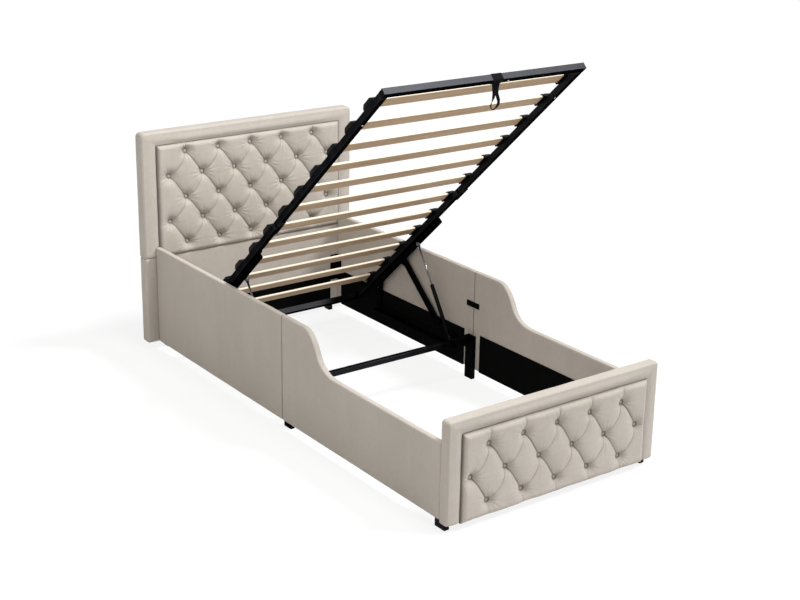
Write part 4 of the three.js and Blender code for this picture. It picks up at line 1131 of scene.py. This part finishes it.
# A smooth line through given points. Between b and c, with a before them and d after, it is
# 0.5 (2b + (c - a) t + (2a - 5b + 4c - d) t^2 + (3b - a - 3c + d) t^3).
def smoothLine(points, steps=6):
    p = np.asarray(points, float)
    p = np.concatenate([[2 * p[0] - p[1]], p, [2 * p[-1] - p[-2]]])
    t = np.linspace(0, 1, steps + 1)[:-1, None]
    a, b, c, d = (p[k:len(p) - 3 + k, None, :] for k in range(4))
    line = 0.5 * (2 * b + (c - a) * t + (2 * a - 5 * b + 4 * c - d) * t ** 2
                  + (3 * b - a - 3 * c + d) * t ** 3)
    return np.concatenate([line.reshape(-1, p.shape[1]), p[-2:-1]])


# Each row of vectors at a length of 1.
def unit(vectors):
    return vectors / np.linalg.norm(vectors, axis=1)[:, None]


def makeStrap():
    clear = strap["clear"] + strap["thick"] / 2
    far = strap["tube"] + clear
    loop = roundedLoop((-clear, -clear), (far, far), strap["corner"], 6, 6)
    tangents = unit(np.roll(loop, -1, axis=0) - np.roll(loop, 1, axis=0))
    centres = platformPoints(strap["x"], loop[:, 0], loop[:, 1])
    across = np.tile([1.0, 0, 0], (len(loop), 1))
    flats = platformPoints(0, tangents[:, 1], -tangents[:, 0]) - platformPoints(0, 0, 0)
    ribbon("strapBand", centres, across, flats, strap["band"], strap["thick"],
           ("pull_strap",), closed=True)
    # The neck: two layers, which narrow as they hang.
    top = platformPoints(strap["x"], strap["tube"] - 3, -clear)
    t = np.linspace(0, 1, strap["neckSteps"])
    fall = strap["neckTop"] - (strap["neckLength"] + strap["neckTop"]) * t
    line = np.stack([0 * t, strap["neckSway"] * np.sin(math.pi * t), fall], -1)
    level, through = (np.tile(way, (len(t), 1)) for way in ([1.0, 0, 0], [0, 1.0, 0]))
    foot = strap["neckFoot"] / strap["neck"]
    ribbon("strapNeck", top + line, level, through, strap["neck"], strap["neckThick"],
           taper=foot + (1 - foot) * (1 - t) ** strap["neckPower"])
    # The loop: its breadth turns from across the bed to along it and back.
    line = smoothLine(strap["loopLine"])
    turn = np.radians(smoothLine(np.array(strap["loopTurn"], float)[:, None])[:, 0])
    centres = top + np.stack([line[:, 0], 0 * turn, line[:, 1] - strap["neckLength"]], -1)
    tangents = unit(np.gradient(centres, axis=0))
    widths = np.stack([np.sin(turn), np.cos(turn), 0 * turn], -1)
    widths = unit(widths - tangents * np.einsum("ij,ij->i", widths, tangents)[:, None])
    ribbon("strapLoop", centres, widths, np.cross(tangents, widths), strap["loopRibbon"],
           strap["loopThick"])


makeStrap()
print("strap made")


# Struts: turned pieces on the line from the lower pin to the upper one. The tube's outline is
# measured from the lower pin, and those of the rod and its collar from the upper one.
strut = {
    "x": 428, "foot": (906, 149), "along": 1324, "below": 30, "steps": 48,
    "tube": ((5.6, 8), (6.0, 9), (6.0, 16), (6.6, 17), (8.0, 18), (8.5, 19.5),
             (8.5, 236), (8.2, 237.6), (7.2, 239), (6.4, 239.9), (4.4, 240)),
    "rod": ((3.2, -200), (4.0, -199), (4.0, -13)),
    "collar": ((5.2, -13.5), (6.0, -12.8), (6.0, -8), (5.4, -7)),
    "eye": 9, "eyeWide": 12, "eyeEdge": 1.2, "footHole": 4.2, "headHole": 4.8,
}


# An eye: a ring about an axis across the bed, with bevelled outer edges.
def eyelet(name, centre, hole, finish, body):
    outer, half, edge = strut["eye"], strut["eyeWide"] / 2, strut["eyeEdge"]
    outline = [(hole, -half), (outer - edge, -half), (outer, edge - half),
               (outer, half - edge), (outer - edge, half), (hole, half)]
    shape = ringLoft(turnedRings(centre, (1, 0, 0), outline, strut["steps"]))
    addPiece(name, shape, finish, body)


def makeStrut(word, side):
    foot = bedPoints(side * strut["x"], *strut["foot"])
    head = platformPoints(side * strut["x"], strut["along"], -strut["below"])
    cylinder, rod = f"strut_cylinder_{word}", f"strut_rod_{word}"

    def turned(name, start, outline, finish, body, replaced=()):
        shape = closedLoft(turnedRings(start, head - foot, outline, strut["steps"]))
        addPiece(name, shape, finish, body, replaced)

    turned(f"strutTube_{word}", foot, strut["tube"], "gearInShade", cylinder, (cylinder,))
    eyelet(f"strutFootEye_{word}", foot, strut["footHole"], "tubes", cylinder)
    turned(f"strutRod_{word}", head, strut["rod"], "chrome", rod, (rod,))
    turned(f"strutCollar_{word}", head, strut["collar"], "tubes", rod)
    eyelet(f"strutHeadEye_{word}", head, strut["headHole"], "chrome", rod)


for word, side in (("left", -1), ("right", 1)):
    makeStrut(word, side)
print("struts made")


# Kept solids take their finish, by how their names start, and a small bevel so that pressed
# and cut edges catch the light. weld and width are in metres.
nodeFinishes = {
    "tubes": ("foot_tube",),
    "gearInShade": ("joining_plate", "middle_leg", "corner_bracket", "base_bracket", "front_arm",
             "rear_link", "mount_rail", "head_tube"),
    "lining": ("headboard_lining", "footboard_lining", "rail_lining"),
    "plastic": ("headboard_foot", "footboard_foot"),
}
edgeLook = {"weld": 0.00002, "width": 0.0007, "segments": 2, "angle": 40}


def dressNode(node, finish):
    material, slotName = finishes[finish]
    for place in node.material_slots:
        place.material = material
    weld = node.modifiers.new("weld", "WELD")
    weld.merge_threshold = edgeLook["weld"]
    edge = node.modifiers.new("edge", "BEVEL")
    edge.width = edgeLook["width"]
    edge.segments = edgeLook["segments"]
    edge.limit_method = "ANGLE"
    edge.angle_limit = math.radians(edgeLook["angle"])
    edge.use_clamp_overlap = True


for finish, starts in nodeFinishes.items():
    for name, node in nodes.items():
        if not node.hide_render and name.startswith(starts):
            dressNode(node, finish)
print("kept nodes dressed")


# 1 for what the camera sees, straight or in a mirror or glass, and 0 for light on the pieces.
def seenRays(tree):
    path = addNode(tree, "ShaderNodeLightPath")
    seen = sums(tree, "ADD", path.outputs["Is Camera Ray"], path.outputs["Is Glossy Ray"])
    seen = sums(tree, "ADD", seen, path.outputs["Is Transmission Ray"])
    return sums(tree, "MINIMUM", seen, 1.0)


# A pale matt floor, which looks white where it is lit and keeps a light shadow of the bed.
# Its size is in metres.
floorLook = {"size": 30.0, "paint": (0.72, 0.72, 0.72, 1), "seenPaint": (0.16, 0.16, 0.16, 1),
             "glow": 0.84}


def makeFloor():
    size = floorLook["size"]
    mesh = bpy.data.meshes.new("floor")
    mesh.from_pydata([(-size, -size, 0), (size, -size, 0), (size, size, 0), (-size, size, 0)],
                     [], [(0, 1, 2, 3)])
    floor = bpy.data.objects.new("floor", mesh)
    scene.collection.objects.link(floor)
    material, tree, shader = newMaterial("floorPaint", roughness=0.9, specular=0.0)
    seen = seenRays(tree)
    colour = mixColours(tree, seen, floorLook["paint"], floorLook["seenPaint"])
    tree.links.new(colour, shader.inputs["Base Color"])
    shader.inputs["Emission Color"].default_value = (1, 1, 1, 1)
    tree.links.new(sums(tree, "MULTIPLY", seen, floorLook["glow"]),
                   shader.inputs["Emission Strength"])
    mesh.materials.append(material)


# A soft lamp from the upper right, a weak one from the left, a wide panel over the headboard,
# and an even pale surround. The panel's place and size are in metres.
lamps = {
    "key": {"towards": (0.5, -0.35, 0.79), "strength": 3.3, "softness": 14,
            "colour": (0.985, 0.99, 1.0)},
    "side": {"towards": (-0.82, -0.3, 0.48), "strength": 0.45, "softness": 40,
             "colour": (1.0, 0.9, 0.74)},
}
panelLamp = {"place": (-0.35, -0.85, 2.9), "towards": (-0.15, -0.55, 1.0), "power": 40,
             "size": 1.0}
surroundStrength = 0.38


# A lamp that shines from the direction towards.
def addLamp(name, data, towards):
    lamp = bpy.data.objects.new(name, data)
    lamp.rotation_mode = "QUATERNION"
    lamp.rotation_quaternion = Vector(towards).to_track_quat("Z", "Y")
    scene.collection.objects.link(lamp)
    return lamp


def makeLamps():
    for name, look in lamps.items():
        data = bpy.data.lights.new(name, "SUN")
        data.energy = look["strength"]
        data.color = look["colour"]
        data.angle = math.radians(look["softness"])
        addLamp(name, data, look["towards"])
    data = bpy.data.lights.new("panel", "AREA")
    data.energy = panelLamp["power"]
    data.size = panelLamp["size"]
    lamp = addLamp("panel", data, panelLamp["towards"])
    lamp.location = panelLamp["place"]
    lamp.visible_camera = False


def makeSurround():
    world = bpy.data.worlds.new("studio")
    scene.world = world
    world.use_nodes = True
    tree = world.node_tree
    background = tree.nodes["Background"]
    background.inputs["Color"].default_value = (1, 1, 1, 1)
    strength = addNode(tree, "ShaderNodeMapRange", {"To Min": surroundStrength, "To Max": 1.0})
    tree.links.new(seenRays(tree), strength.inputs["Value"])
    tree.links.new(strength.outputs["Result"], background.inputs["Strength"])


# The camera's place is in metres and its turns in degrees.
cameraPlace = {
    "location": (-3.2581, -4.5118, 2.4074), "azimuth": 36.553, "down": 18.371, "roll": 0.976,
    "lens": 66.46, "sensor": 36, "shift": (0.0, -0.0375), "farthest": 100,
}


def makeCamera():
    place = cameraPlace
    azimuth, down, roll = (math.radians(place[k]) for k in ("azimuth", "down", "roll"))
    ahead = Vector((math.sin(azimuth) * math.cos(down), math.cos(azimuth) * math.cos(down),
                    -math.sin(down)))
    right = Vector((math.cos(azimuth), -math.sin(azimuth), 0))
    up = right.cross(ahead)
    rolledRight = right * math.cos(roll) + up * math.sin(roll)
    rolledUp = up * math.cos(roll) - right * math.sin(roll)
    turn = Matrix((rolledRight, rolledUp, -ahead)).transposed()
    data = bpy.data.cameras.new("view")
    data.sensor_width = place["sensor"]
    data.lens = place["lens"]
    data.shift_x, data.shift_y = place["shift"]
    data.clip_end = place["farthest"]
    camera = bpy.data.objects.new("view", data)
    camera.matrix_world = Matrix.Translation(place["location"]) @ turn.to_4x4()
    scene.collection.objects.link(camera)
    scene.camera = camera


makeFloor()
makeLamps()
makeSurround()
makeCamera()
scene.view_settings.view_transform = "Standard"
scene.view_settings.look = "None"
